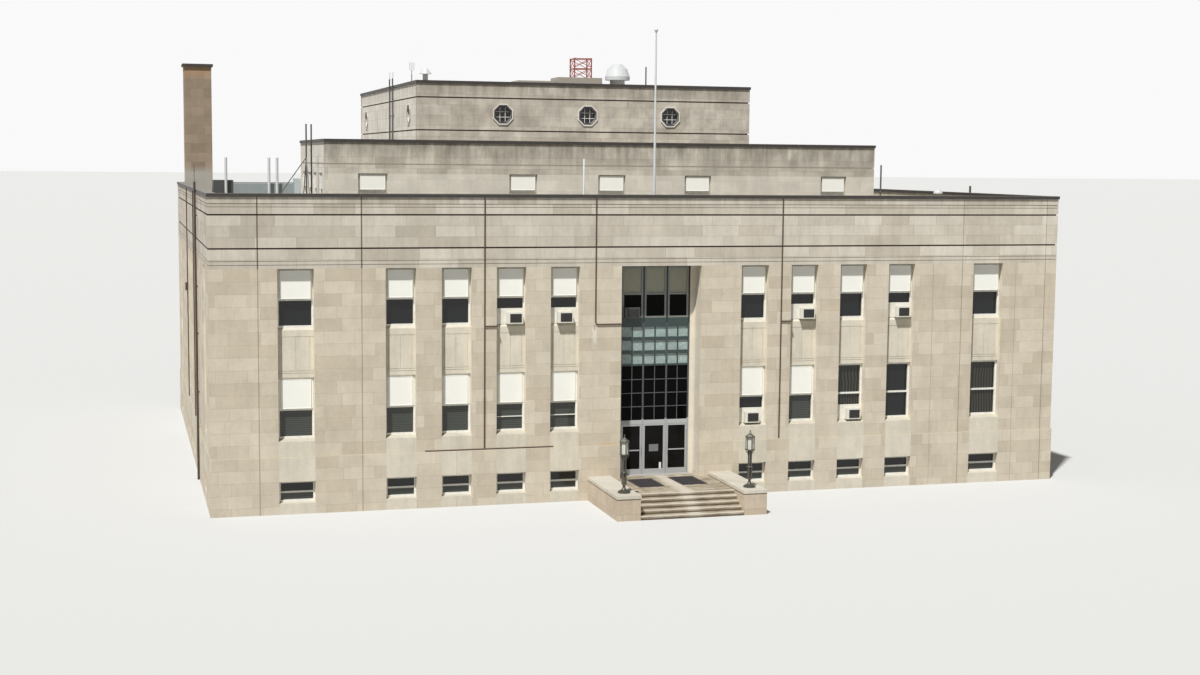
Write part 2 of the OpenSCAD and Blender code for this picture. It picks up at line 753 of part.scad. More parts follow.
module lantern_posts() color(bronze) at_lanterns() {
    rotate_extrude($fn = 64) polygon([[0, 0], [foot_dia / 2, 0], [foot_dia / 2, foot_h * 0.4],
        [foot_dia * 0.4, foot_h * 0.4], [foot_dia * 0.4, foot_h * 0.75], [leg_foot_r, foot_h * 0.75],
        [leg_foot_r, foot_h], [0, foot_h]]);
    translate([0, 0, foot_h]) lantern_legs();
    translate([0, 0, foot_h + leg_h - 1]) cylinder(r = neck_r, h = knot_z - foot_h - leg_h + 2, $fn = 48);
    translate([0, 0, knot_z]) bead(knot_r, knot_h);
    cluster(shaft_r, shaft_dia, knot_z + knot_h / 2, collar_z + 1);
    translate([0, 0, collar_z]) bead(shaft_r + shaft_dia * 0.7, collar_h);
    cluster(upper_r, upper_dia, collar_z + collar_h - 1, shaft_top);
    translate([0, 0, shaft_top]) {
        cylinder(r = upper_r + upper_dia / 2 + core_lip, h = bracket_h, $fn = 48);
        for (a = [30:60:330]) rotate(a) translate([ring_x, ring_t / 2, bracket_h - ring_dia / 2])
            rotate([90, 0, 0]) linear_extrude(ring_t) difference() {
                circle(d = ring_dia, $fn = 48);
                circle(d = ring_dia - 2 * ring_t, $fn = 48);
            }
    }
}

module hexagon(d) rotate(30) circle(d = d, $fn = 6);

module lantern_heads() color(bronze) at_lanterns() translate([0, 0, shaft_top + bracket_h]) {
    for (z = [0, head_h - rim_t]) translate([0, 0, z]) linear_extrude(rim_t) hexagon(head_w);
    for (a = [30:60:330]) rotate(a) translate([head_w / 2 - corner_dia, 0, rim_t - 1])
        cylinder(d = corner_dia, h = head_h - 2 * rim_t + 2, $fn = 24);
    translate([0, 0, head_h]) rotate(30) cylinder(d1 = head_w, d2 = head_w * 0.45, h = roof_h, $fn = 6);
    translate([0, 0, head_h + roof_h - 1]) rotate_extrude($fn = 48)
        polygon(concat([[0, 0]], arc(0, 1, dome_r, 0, 80), arc(0, dome_r + finial_h - finial_ball / 2 + 1,
            finial_ball / 2, -60, 90)));
}

module lantern_panes() color("#d8dccb") at_lanterns() translate([0, 0, shaft_top + bracket_h + rim_t])
    linear_extrude(head_h - 2 * rim_t) hexagon(head_w - 4 * corner_dia);

// Second tier: openings cut through plain walls
module cut_row(row, z0, z1, t) for (o = row)
    block([o[0] - o[1] / 2, -1, z0], [o[0] + o[1] / 2, t + 1, z1]);

module tier2_grooves()
    groove_round(tier2_half, tier2_y, tier2_back, tier2_top - tier2_groove_down, groove_h, groove_deep / 2);

module on_tier2_front() translate([0, tier2_y, 0]) children();
module on_tier2_left() translate([-tier2_half, (tier2_y + tier2_back) / 2, 0]) rotate(-90) children();
module on_tier2_right() translate([tier2_half, (tier2_y + tier2_back) / 2, 0]) rotate(90) children();

module tier2_front_wall() color(pale_stone) site() difference() {
    on_tier2_front() difference() {
        block([-tier2_half, 0, roof_z], [tier2_half, tier_wall_t, tier2_top]);
        cut_row(tier2_front_row, tier2_sill, tier2_head, tier_wall_t);
    }
    tier2_grooves();
}

module tier2_side_wall(front_end) difference() {
    block([-tier2_d / 2 + (front_end < 0 ? tier_wall_t : 0), 0, roof_z],
        [tier2_d / 2 - (front_end > 0 ? tier_wall_t : 0), tier_wall_t, tier2_top]);
    cut_row(tier2_side_row, tier2_sill, tier2_head, tier_wall_t);
}

module tier2_side_walls() color(pale_stone) site() difference() {
    union() {
        on_tier2_left() tier2_side_wall(1);
        on_tier2_right() tier2_side_wall(-1);
    }
    tier2_grooves();
}

module tier2_back_walls() color(pale_stone) site() difference() {
    both_sides() block([tier3_half, tier2_back - tier_wall_t, roof_z],
        [tier2_half - tier_wall_t, tier2_back, tier2_top]);
    tier2_grooves();
}

module tier2_roof() color(concrete) site()
    block([-tier2_half + tier_wall_t, tier2_y + tier_wall_t, tier2_roof_z - roof_t],
        [tier2_half - tier_wall_t, tier2_back - tier_wall_t, tier2_roof_z]);

// A window of the second tier: a frame with a white board over a low light
tier2_recess = 150;
light_share = 0.3;
light_top = tier2_sill + light_share * tier2_win_h;

// What stands in every window bay of the second tier
module tier2_bays() {
    on_tier2_front() for (o = tier2_front_row) let ($x = o[0], $w = o[1]) children();
    on_tier2_left() for (o = tier2_side_row) let ($x = o[0], $w = o[1]) children();
    on_tier2_right() for (o = tier2_side_row) let ($x = o[0], $w = o[1]) children();
}

module tier2_window() translate([$x, tier2_recess, 0]) difference() {
    clear = $w / 2 - sash_w;
    block([-$w / 2, 0, tier2_sill], [$w / 2, sash_d, tier2_head]);
    block([-clear, -1, tier2_sill + sash_w], [clear, sash_d + 1, light_top]);
    block([-clear, -1, light_top + sash_w], [clear, sash_d / 3, tier2_head - sash_w]);
}

module tier2_pane() block([$x - $w / 2 + sash_w / 2, tier2_recess + sash_d, tier2_sill + sash_w / 2],
    [$x + $w / 2 - sash_w / 2, tier2_recess + sash_d + pane_t, light_top + sash_w / 2]);

module tier2_windows() color(white_paint) site() tier2_bays() tier2_window();

// Third tier: octagon windows with a raised border
tier3_row = [-first_bay, 0, first_bay];
side_oct = (tier3_back + wall_t - tier3_y) / 2 - oct_end;
border_out = 20;
tier3_mid = (tier3_y + block_d) / 2;

module octagon(w) rotate(22.5) circle(d = w / cos(22.5), $fn = 8);

module oct_at(x, y0, y1, w) translate([x, y1, oct_z]) rotate([90, 0, 0]) linear_extrude(y1 - y0) octagon(w);

module oct_wall(xs) difference() {
    union() {
        children();
        for (x = xs) oct_at(x, -border_out, 1, oct_w + 2 * oct_border);
    }
    for (x = xs) oct_at(x, -big, big, oct_w);
}

module tier3_grooves() for (down = [tier3_groove_low_down, tier3_groove_high_down])
    groove_round(tier3_half, tier3_y, block_d, tier3_top - down, groove_h, groove_deep);

module on_tier3_front() translate([0, tier3_y, 0]) children();
module on_tier3_left() translate([-tier3_half, tier3_mid, 0]) rotate(-90) children();

module tier3_front_wall() color(pale_stone) site() difference() {
    on_tier3_front() oct_wall(tier3_row)
        block([-tier3_half, 0, tier2_roof_z], [tier3_half, tier_wall_t, tier3_top]);
    tier3_grooves();
}

module tier3_side_walls() color(pale_stone) site() difference() {
    both_sides() on_tier3_left() oct_wall([-side_oct, side_oct])
        block([-(tier3_back - tier3_mid), 0, tier2_roof_z],
            [tier3_mid - tier3_y - tier_wall_t, tier_wall_t, tier3_top]);
    tier3_grooves();
}

module tier3_lower_walls() color(pale_stone) site() both_sides()
    block([tier3_half - tier_wall_t, tier2_back - tier_wall_t, roof_z],
        [tier3_half, tier3_back, tier2_roof_z]);

module tier3_back_wall() color(pale_stone) site() difference() {
    block([-tier3_half, tier3_back, wall_top], [tier3_half, block_d, tier3_top]);
    tier3_grooves();
}

module tier3_floor() color(concrete) site()
    block([-tier3_half + tier_wall_t, tier2_back - tier_wall_t, tier2_roof_z - roof_t],
        [tier3_half - tier_wall_t, tier3_back, tier2_roof_z]);

module tier3_roof() color(concrete) site()
    block([-tier3_half + tier_wall_t, tier3_y + tier_wall_t, tier3_roof_z - roof_t],
        [tier3_half - tier_wall_t, tier3_back, tier3_roof_z]);

// An octagon window: a frame with two upright and two level bars, in front of one pane
oct_bar_w = 34;
oct_recess = 100;
oct_frame_w = 90;
oct_frame_d = 45;
oct_back = oct_recess + oct_frame_d;

// What stands in every octagon opening
module octagon_bays() {
    on_tier3_front() for (x = tier3_row) let ($x = x) children();
    both_sides() on_tier3_left() for (x = [-side_oct, side_oct]) let ($x = x) children();
}

module oct_bar(low, high) block([low[0], 0, low[1]], [high[0], oct_frame_d, high[1]]);

module oct_window() translate([0, oct_recess, 0]) {
    difference() {
        oct_at($x, 0, oct_frame_d, oct_w);
        oct_at($x, -1, oct_frame_d + 1, oct_w - oct_frame_w);
    }
    for (side = [-1, 1]) let (off = side * oct_w / 6, reach = oct_w / 2 - oct_frame_w / 4) {
        oct_bar([$x + off - oct_bar_w / 2, oct_z - reach], [$x + off + oct_bar_w / 2, oct_z + reach]);
        oct_bar([$x - reach, oct_z + off - oct_bar_w / 2], [$x + reach, oct_z + off + oct_bar_w / 2]);
    }
}

module octagon_windows() color(white_paint) site() octagon_bays() oct_window();

// Chimney in the back left corner, inside the parapets
chimney_gap = 20;
chimney_inset = parapet_t + coping_lip + chimney_gap;

module at_chimney() translate([-half_w + chimney_inset, block_d - chimney_inset - chimney_w, 0]) children();

module chimney() color(stone) site() at_chimney()
    block([0, 0, roof_z], [chimney_w, chimney_w, chimney_top - coping_h]);

module chimney_cap() at_chimney() block([-chimney_lip, -chimney_lip, chimney_top - coping_h],
    [chimney_w + chimney_lip, chimney_w + chimney_lip, chimney_top]);

// Flagpole on the main roof, with a round foot plate and a ball
flag_ball = 160;
flag_foot_h = 60;
flag_len = flag_top - roof_z - flag_ball / 2;

module flagpole() color(white_paint) site() translate([0, flag_y, roof_z]) {
    cylinder(d = flag_dia * 3, h = flag_foot_h, $fn = 48);
    cylinder(d1 = flag_dia, d2 = flag_dia * 0.55, h = flag_len, $fn = 32);
    translate([0, 0, flag_len]) sphere(d = flag_ball, $fn = 32);
}

// Ventilators on the third tier's roof: a mushroom hood on a round curb, a hooded stem and two square curbs
fan_y = 16000;
fan_x = 2700;
fan_curb_h = 900;
hood_drop = 100;
hood_edge_h = 180;
stem_x = -7030;
stem_dia = 260;
stem_h = 900;
stem_hood_dia = 640;
stem_hood_h = 240;
curb_d = 1500;
curbs = [[-2580, 1900, 660], [-560, 2260, 860]];
pipe_x = [1300, 3150, 3500];
pipe_off = 200;
pipe_h = 2370;
pipe_dia = 120;
dome_x = 13050;
dome_stem_dia = 160;
dome_stem_h = 1080;
dome_dia = 400;

module hood(d, edge, h) rotate_extrude($fn = 48)
    polygon([[0, 0], [d / 2, 0], [d / 2, edge], [d * 0.4, edge + (h - edge) * 0.6], [d * 0.2, h], [0, h]]);

module roof_vents() color(white_paint) site() {
    tier3_vents();
    for (x = pipe_x) translate([-half_w + x, box_y - pipe_off, roof_z])
        cylinder(d = pipe_dia, h = pipe_h, $fn = 24);
    translate([dome_x, flag_y, roof_z]) {
        cylinder(d = dome_stem_dia, h = dome_stem_h, $fn = 32);
        translate([0, 0, dome_stem_h]) intersection() {
            sphere(d = dome_dia, $fn = 48);
            cylinder(d = dome_dia, h = dome_dia, $fn = 48);
        }
    }
}

module tier3_vents() translate([0, fan_y, tier3_roof_z]) {
    translate([fan_x, 0, 0]) {
        cylinder(d = hood_dia * 0.6, h = fan_curb_h, $fn = 48);
        translate([0, 0, fan_curb_h - hood_drop])
            hood(hood_dia, hood_edge_h, hood_rise - fan_curb_h + hood_drop);
    }
    translate([stem_x, 0, 0]) {
        cylinder(d = stem_dia, h = stem_h, $fn = 32);
        translate([0, 0, stem_h]) cylinder(d1 = stem_hood_dia, d2 = stem_dia, h = stem_hood_h, $fn = 32);
    }
    for (c = curbs) translate([c[0], -curb_d / 2, 0]) cube([c[1], curb_d, c[2]]);
}

// A short lattice mast on the wider curb: four legs with level bars and crossed braces
mast_w = 860;
mast_h = 980;
mast_leg = 60;
mast_brace = 30;
mast_steps = 2;

// A round bar from point p to point q
module strut(p, q, d) let (v = q - p)
    translate(p) rotate([0, acos(v[2] / norm(v)), atan2(v[1], v[0])]) cylinder(d = d, h = norm(v), $fn = 16);

module mast_face() for (k = [0:mast_steps - 1])
    let (z0 = k * mast_h / mast_steps, z1 = (k + 1) * mast_h / mast_steps, e = mast_w / 2) {
        strut([-e, -e, z1 - mast_leg / 2], [e, -e, z1 - mast_leg / 2], mast_leg * 0.7);
        for (side = [-1, 1])
            strut([side * e, -e, z0 + mast_leg / 2], [-side * e, -e, z1 - mast_leg], mast_brace);
    }

module lattice_mast() color("#9c3b2e") site()
    translate([curbs[1][0] + 0.6 * curbs[1][1], fan_y, tier3_roof_z + curbs[1][2]])
    for (a = [0:90:270]) rotate(a) {
        translate([-mast_w / 2, -mast_w / 2, 0]) cylinder(d = mast_leg, h = mast_h, $fn = 16);
        mast_face();
    }

// Plant boxes on the main roof, in the well between the left parapet and the second tier: a dark box, a
// long one that fills what the others leave, and a narrow one
box_y = 9500;
well_x = -half_w + parapet_t;
well_end = -tier2_half;
parapet_gap = 470;
tier_gap = 830;
dark_box = [860, 1000, 1380];
long_box = [well_end - well_x - parapet_gap - tier_gap - dark_box[0] - 300, 1200, 1250];
narrow_box = [300, 300, 1470];

module roof_boxes() color("#a9a79f") site() translate([well_x + parapet_gap, box_y, roof_z]) {
    cube(dark_box);
    translate([dark_box[0], 0, 0]) cube(long_box);
    translate([dark_box[0] + long_box[0], 0, 0]) cube(narrow_box);
}

// Masts on the main roof: place from the middle and from the front, and height
mast_left = 3050;
mast_right = 10300;
pole_flange_h = 40;
main_masts = [[-mast_left, flag_y, 2440], [mast_right, flag_y, 2300]];
tripod_off = [620, 1600, 3860];
twin_off = [360, 1950, 3860];
tripod_h = 2400;
tripod_reach = 1700;
tripod_turns = [90, 180, 270];
tier3_mast = [4200, 1500];
side_mast_off = [1000, 1950];
side_mast_h = 800;
panel_x = 60;
panel_off = 1760;
panel_pole_h = 700;
panel_size = [260, 70, 360];
clip_w = 120;
clip_h = 60;
spike_h = 760;
spike_dia = 24;
spike_arm = 98;

module pole(h) {
    cylinder(d = pole_dia * 2.4, h = pole_flange_h, $fn = 32);
    cylinder(d = pole_dia, h = h, $fn = 24);
}

module roof_poles() color(metal_dark) site() {
    for (m = main_masts) translate([m[0], m[1], roof_z]) pole(m[2]);
    for (off = [tripod_off, twin_off]) translate([well_end - off[0], tier2_y + off[1], roof_z]) pole(off[2]);
    translate([well_end - tripod_off[0], tier2_y + tripod_off[1], roof_z]) for (a = tripod_turns)
        rotate(a) strut([0, 0, tripod_h], [tripod_reach, 0, pole_dia / 3], pole_dia * 0.6);
    translate([tier3_mast[0], fan_y, tier3_roof_z]) pole(tier3_mast[1]);
    side_masts();
    panel_antenna();
    spike();
}

// Two masts up the left wall of the third tier, held by clips
module side_masts() for (off = side_mast_off)
    translate([-tier3_half - coping_lip - pole_dia / 2, tier2_back + off, roof_z]) {
        cylinder(d = pole_dia, h = tier3_top + side_mast_h - roof_z, $fn = 24);
        for (down = [oct_down, 2 * oct_down]) translate([0, -clip_w / 2, tier3_top - down - roof_z])
            cube([coping_lip + pole_dia / 2, clip_w, clip_h]);
    }

// A panel aerial on a thin pole that stands on the third tier's left coping
module panel_antenna() translate([-tier3_half + panel_x, tier3_y + panel_off, tier3_top + coping_h]) {
    cylinder(d = pole_dia * 0.6, h = panel_pole_h, $fn = 24);
    translate([-panel_size[0] / 2, -panel_size[1], panel_pole_h - panel_size[2] / 2]) cube(panel_size);
}

// A spike with a cross arm on top of the left downpipe
module spike() translate([-half_w - downpipe_out, downpipe_y, downpipe_h]) {
    cylinder(d = spike_dia, h = spike_h, $fn = 16);
    translate([-spike_arm / 2, 0, spike_h * 0.6]) rotate([0, 90, 0])
        cylinder(d = spike_dia, h = spike_arm, $fn = 16);
}

// Window air conditioners in front of the sashes, each in a board that fills the window's width. Each has
// the number of its bay, counted from the entrance with the left ones negative, and its distance from the
// bay's middle as a share of the window's width
upper_coolers = [[-2, 0.13], [-1, 0.02], [2, 0.16], [4, 0.11]];
lower_coolers = [[1, 0], [3, 0.135]];
board_t = 20;
board_h = 640;
cooler_up = 20;
screen_cooler_out = 180;
slots = 7;
grille_w = 430;
grille_h = 270;
slot_d = 30;
slot_up = 95;
slot_edge = 60;

// Air conditioner with its low back left corner at the origin and slots cut through the grille's face
module cooler(out) difference() {
    translate([0, -out, 0]) cube([cooler_w, out, cooler_h]);
    for (k = [0:slots - 1])
        translate([cooler_w - grille_w - slot_edge, -out - 1, slot_up + k * grille_h / slots])
        cube([grille_w, slot_d + 1, grille_h / slots * 0.6]);
}

module cooler_row(places, z) for (p = places)
    if (abs(p[0]) <= bays_n) let (mid = sign(p[0]) * bay_steps[abs(p[0]) - 1]) {
        block([mid - win_w / 2, recess_d - board_t, z], [mid + win_w / 2, recess_d, z + board_h]);
        translate([mid + p[1] * win_w - cooler_w / 2, recess_d, z + cooler_up]) cooler(cooler_out);
    }

module air_conditioners() color("#b9b4a6") site() on_front() {
    cooler_row(upper_coolers, upper_sill + sill_rise);
    cooler_row(lower_coolers, lower_sill + sill_rise);
    translate([screen_bays[0][0] + sash_w, screen_sash_y, screen_sill]) cooler(screen_cooler_out);
}

// Conduits on the front wall: two come down from the coping to the plinth with a branch to a window, one
// turns level to the entrance, and one lies along the plinth
bend_r = 120;
half_pipe = conduit_dia / 2;
branch_z = upper_sill + 20 + half_pipe;
d_edge = -bay_steps[1] - win_w / 2;
g_edge = bay_steps[1] - win_w / 2;
d_off = 500;
d_pipe = d_edge - d_off;
entrance_off = 1117;
entrance_pipe = -entrance_w / 2 - entrance_off;
g_off = 450;
g_pipe = g_edge - g_off;
plinth_pipe = [-bay_steps[2] - bay_pitch * 0.575, -first_bay - bay_pitch * 0.215];

module drop(x, z0, z1) translate([x, -half_pipe, z0]) cylinder(d = conduit_dia, h = z1 - z0, $fn = 24);

module level(x0, x1, z) translate([x0, -half_pipe, z]) rotate([0, 90, 0])
    cylinder(d = conduit_dia, h = x1 - x0, $fn = 24);

// A quarter bend from a drop at x to a level run to its right at z
module bend(x, z) translate([x + bend_r, -half_pipe, z + bend_r]) rotate([90, 0, 0]) rotate(180)
    rotate_extrude(angle = 90, $fn = 48) translate([bend_r, 0]) circle(d = conduit_dia, $fn = 24);

// The end of a level run that turns in along the side of a recess
module turn_in(x, z) translate([x, -half_pipe, z]) rotate([-90, 0, 0])
    cylinder(d = conduit_dia, h = spandrel_recess_d + half_pipe, $fn = 24);

module branched_drop(x, x1, z) {
    drop(x, belt_z + half_pipe, wall_top);
    level(x, x1, z);
    turn_in(x1, z);
}

module bent_drop(x, x1, z) {
    drop(x, z + bend_r, wall_top);
    bend(x, z);
    level(x + bend_r, x1, z);
}

module wall_conduits() color("#6b4a35") site() {
    bent_drop(entrance_pipe, -entrance_w / 2, branch_z);
    branched_drop(d_pipe, d_edge + half_pipe, branch_z);
    branched_drop(g_pipe, g_edge + half_pipe, branch_z);
    level(plinth_pipe[0], plinth_pipe[1], belt_z + half_pipe);
    left_conduits();
}

// Thin conduits down the left wall, with a meter box on the last
left_conduit_y = [9700, 11750, 18470];
meter_size = [350, 130, 380];
meter_z = 7500;

module left_conduits() on_left() {
    for (y = left_conduit_y) drop(block_d / 2 - y, belt_z, wall_top);
    translate([block_d / 2 - left_conduit_y[2] - meter_size[0] / 2, -meter_size[1], meter_z])
        cube(meter_size);
}

// A downpipe on each side wall, clear of the plinth and the coping, held by clips
downpipe_out = max(plinth_out, coping_lip) + downpipe_dia / 2;
downpipe_over = 320;
downpipe_h = wall_top + coping_h + downpipe_over;
clip_shares = [0.15, 0.4, 0.6, 0.9];

module downpipes() color(metal_dark) site() both_sides() on_left()
    translate([block_d / 2 - downpipe_y, -downpipe_out, 0]) {
        cylinder(d = downpipe_dia, h = downpipe_h, $fn = 32);
        for (share = clip_shares) translate([-clip_w / 2, 0, belt_z + share * (wall_top - belt_z)])
            cube([clip_w, downpipe_out, clip_h]);
    }

basement_floor();
entrance_floor();
main_floor();
second_floor();
roof_deck();
front_piers();
back_piers();
side_piers();
aprons();
spandrels();
front_frieze();
back_frieze();
side_friezes();
long_copings();
side_copings();
upper_sashes();
lower_sashes();
basement_sashes();
window_panes();
entrance_surround();
screen_posts();
screen_rails();
screen_muntins();
screen_panes();
rough_panes();
fixed_leaf();
left_door();
left_door_pane();
right_door();
right_door_pane();
steps();
cheek_walls();
cheek_caps();
lantern_posts();
lantern_heads();
lantern_panes();
tier2_front_wall();
tier2_side_walls();
tier2_back_walls();
tier2_roof();
tier2_windows();
tier3_front_wall();
tier3_side_walls();
tier3_lower_walls();
tier3_back_wall();
tier3_floor();
tier3_roof();
octagon_windows();
chimney();
flagpole();
roof_vents();
roof_boxes();
roof_poles();
lattice_mast();
air_conditioners();
wall_conduits();
downpipes();
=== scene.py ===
import math

import bpy
from mathutils import Matrix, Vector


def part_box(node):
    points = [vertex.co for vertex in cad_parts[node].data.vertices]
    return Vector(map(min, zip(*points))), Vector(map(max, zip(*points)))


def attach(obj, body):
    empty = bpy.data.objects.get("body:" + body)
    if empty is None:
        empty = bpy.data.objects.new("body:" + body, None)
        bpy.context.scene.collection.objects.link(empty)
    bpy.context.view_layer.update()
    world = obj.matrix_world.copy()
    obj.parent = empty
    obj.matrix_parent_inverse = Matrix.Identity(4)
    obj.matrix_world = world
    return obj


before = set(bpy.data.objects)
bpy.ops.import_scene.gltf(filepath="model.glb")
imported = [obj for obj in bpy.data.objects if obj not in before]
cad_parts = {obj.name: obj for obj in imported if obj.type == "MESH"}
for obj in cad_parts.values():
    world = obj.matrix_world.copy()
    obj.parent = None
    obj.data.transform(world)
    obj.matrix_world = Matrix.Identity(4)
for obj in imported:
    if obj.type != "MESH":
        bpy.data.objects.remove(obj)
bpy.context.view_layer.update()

# Facing stone: sawn limestone in level courses over the whole of the main block. Each block has
# its own tone and rain has washed the face in upright streaks. The grooves of the frieze and the
# upper tiers are darkened with painted shade, and a pale painted highlight runs along the belt
# ledge. Joints are 6 mm wide in life and drawn 9 mm, so that they show.
front_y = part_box("front_frieze")[0][1]
back_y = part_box("back_frieze")[1][1]
side_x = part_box("front_frieze")[1][0]
side_mid = (front_y + back_y) / 2
front_limit = front_y + 1


def linear(code):
    """An sRGB hex colour as linear red, green, blue and alpha."""
    parts = [int(code[i:i + 2], 16) / 255 for i in (1, 3, 5)]
    return [c / 12.92 if c <= 0.04045 else ((c + 0.055) / 1.055) ** 2.4 for c in parts] + [1]


def add(material, kind, inputs=(), **settings):
    """Adds a shader node and returns its first output. Inputs are values or other nodes' outputs, in
    the order of the node's sockets or named by socket."""
    made = material.node_tree.nodes.new("ShaderNode" + kind)
    for name, value in settings.items():
        setattr(made, name, value)
    for name, value in inputs.items() if isinstance(inputs, dict) else enumerate(inputs):
        if isinstance(value, bpy.types.NodeSocket):
            material.node_tree.links.new(value, made.inputs[name])
        else:
            made.inputs[name].default_value = value
    return made.outputs[0]


def paint_on(material, colour, rough):
    """Leads a colour output into the material's shader and sets its roughness."""
    shader = material.node_tree.nodes["Principled BSDF"]
    material.node_tree.links.new(colour, shader.inputs["Base Color"])
    shader.inputs["Roughness"].default_value = rough
    return shader


def start(name):
    """A new material with its object coordinates, whole and split in X, Y and Z."""
    material = bpy.data.materials.new(name)
    material.use_nodes = True
    place = add(material, "TexCoord").node.outputs["Object"]
    return material, place, add(material, "SeparateXYZ", (place,)).node.outputs


def dress(material, *names):
    """Gives CAD nodes this finish in place of their plain one."""
    for name in names:
        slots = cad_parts[name].data.materials
        slots.clear()
        slots.append(material)


def shade_upward_faces(material, colour):
    """Darkens the faces that look up with painted shade, which holds back the strong sun that falls on
    them.
    """
    normal = add(material, "TexCoord").node.outputs["Normal"]
    upward = add(material, "SeparateXYZ", (normal,)).node.outputs["Z"]
    shade = add(material, "MapRange", (upward, 0.2, 0.9, 1.0, 0.6))
    return add(material, "VectorMath", {0: colour, "Scale": shade}, operation="SCALE")


def limestone(name, tones, joint, course, first, block, streak, pale_blocks=0.0, seams=(), grooves=(),
              top=None, reveal=None, runs_down=(), blotch=(0.93, 1.04), across=None):
    """Coursed limestone: two block tones, the joint's tone, course height, height of one joint, block
    length, how dark the streaks are and the bias between the two tones. Then seams as (x, half width,
    strength), grooves as (height, half height, strength, tone), top as (height, reach, strength) of the
    soot under a coping, which on the cheek walls is painted shade under the caps, the tone inside the
    window reveals, runs on the front wall as (x, half width, low, high, tone, strength), the darkest and
    palest blotch, and the shade at the left and right end."""
    stone, place, split = start(name)
    along = add(stone, "Math", (split["X"], split["Y"]), operation="ADD")
    level = add(stone, "Math", (split["Z"], first - 40 * course), operation="SUBTRACT")
    face = add(stone, "CombineXYZ", (along, level))
    bricks = add(stone, "TexBrick", {"Vector": face, "Color1": linear(tones[0]), "Color2": linear(tones[1]),
                                     "Mortar": linear(joint), "Scale": 1.0, "Mortar Size": 0.0045,
                                     "Mortar Smooth": 0.3, "Bias": pale_blocks, "Brick Width": block,
                                     "Row Height": course}, offset=0.42, squash=0.8, squash_frequency=3)
    patches = add(stone, "TexNoise", {"Vector": face, "Scale": 0.9, "Detail": 6.0, "Roughness": 0.6})
    low_z = add(stone, "Math", (split["Z"], 0.16), operation="MULTIPLY")
    run = add(stone, "CombineXYZ", (along, low_z))
    runs = add(stone, "TexNoise", {"Vector": run, "Scale": 2.6, "Detail": 6.0, "Roughness": 0.65})
    mottle = add(stone, "TexNoise", {"Vector": place, "Scale": 8.0, "Detail": 3.0, "Roughness": 0.6})
    grit = add(stone, "TexNoise", {"Vector": place, "Scale": 30.0, "Detail": 4.0, "Roughness": 0.7})
    tone = add(stone, "MapRange", (patches, 0.37, 0.63, *blotch))
    shades = [(runs, 0.40, 0.68, 1.0, streak), (mottle, 0.3, 0.7, 0.965, 1.03),
              (grit, 0.25, 0.75, 0.96, 1.035)]
    if across:
        shades.append((split["X"], -side_x, side_x, *across))
    for shade in shades:
        tone = add(stone, "Math", (tone, add(stone, "MapRange", shade)), operation="MULTIPLY")
    colour = add(stone, "VectorMath", {0: bricks.node.outputs["Color"], "Scale": tone}, operation="SCALE")
    # The stone inside the window reveals is paler.
    if reveal:
        off_axis = add(stone, "Math", (split["X"],), operation="ABSOLUTE")
        off_middle = add(stone, "Math", (split["Y"], side_mid), operation="SUBTRACT")
        off_middle = add(stone, "Math", (off_middle,), operation="ABSOLUTE")
        side_deep = add(stone, "Math", (side_x, off_axis), operation="SUBTRACT")
        end_deep = add(stone, "Math", ((back_y - front_y) / 2, off_middle), operation="SUBTRACT")
        deep = add(stone, "Math", (side_deep, end_deep), operation="MINIMUM")
        inside = add(stone, "MapRange", (deep, 0.015, 0.05, 0.0, 0.85))
        reveal_tone = add(stone, "VectorMath", {0: linear(reveal)[:3], "Scale": tone}, operation="SCALE")
        colour = add(stone, "MixRGB", (inside, colour, reveal_tone))
    # The band under the top: soot under a coping, and on the cheek walls painted shade under the caps.
    if top:
        height, reach, strength = top
        under = add(stone, "MapRange", (split["Z"], height - reach, height, 0.0, strength))
        patchy = add(stone, "MapRange", (runs, 0.35, 0.62, 0.15, 1.0))
        soot = add(stone, "Math", (under, patchy), operation="MULTIPLY")
        colour = add(stone, "MixRGB", (soot, colour, linear("#5d574c")))
    for x, half, low, high, code, strength in runs_down:
        aside = add(stone, "Math", (split["X"], x), operation="SUBTRACT")
        aside = add(stone, "Math", (aside,), operation="ABSOLUTE")
        mask = add(stone, "MapRange", (aside, half * 0.4, half, strength, 0.0))
        for part in (add(stone, "Math", (split["Y"], front_limit), operation="LESS_THAN"),
                     add(stone, "MapRange", (split["Z"], low, low + (high - low) * 0.6, 0.0, 1.0)),
                     add(stone, "MapRange", (split["Z"], high, high + 0.05, 1.0, 0.0)),
                     add(stone, "MapRange", (mottle, 0.35, 0.6, 0.5, 1.0))):
            mask = add(stone, "Math", (mask, part), operation="MULTIPLY")
        colour = add(stone, "MixRGB", (mask, colour, linear(code)))
    lines = [("X", *seam, "#61513f") for seam in seams] + [("Z", *groove) for groove in grooves]
    for axis, middle, half, strength, code in lines:
        line = add(stone, "Math", (split[axis], middle, half), operation="COMPARE")
        line = add(stone, "Math", (line, strength), operation="MULTIPLY")
        colour = add(stone, "MixRGB", (line, colour, linear(code)))
    shader = paint_on(stone, shade_upward_faces(stone, colour), 0.85)
    dent = add(stone, "Math", (grit, bricks.node.outputs["Fac"]), operation="SUBTRACT")
    bump = add(stone, "Bump", {"Height": dent, "Strength": 0.35, "Distance": 0.004})
    stone.node_tree.links.new(bump, shader.inputs["Normal"])
    return stone


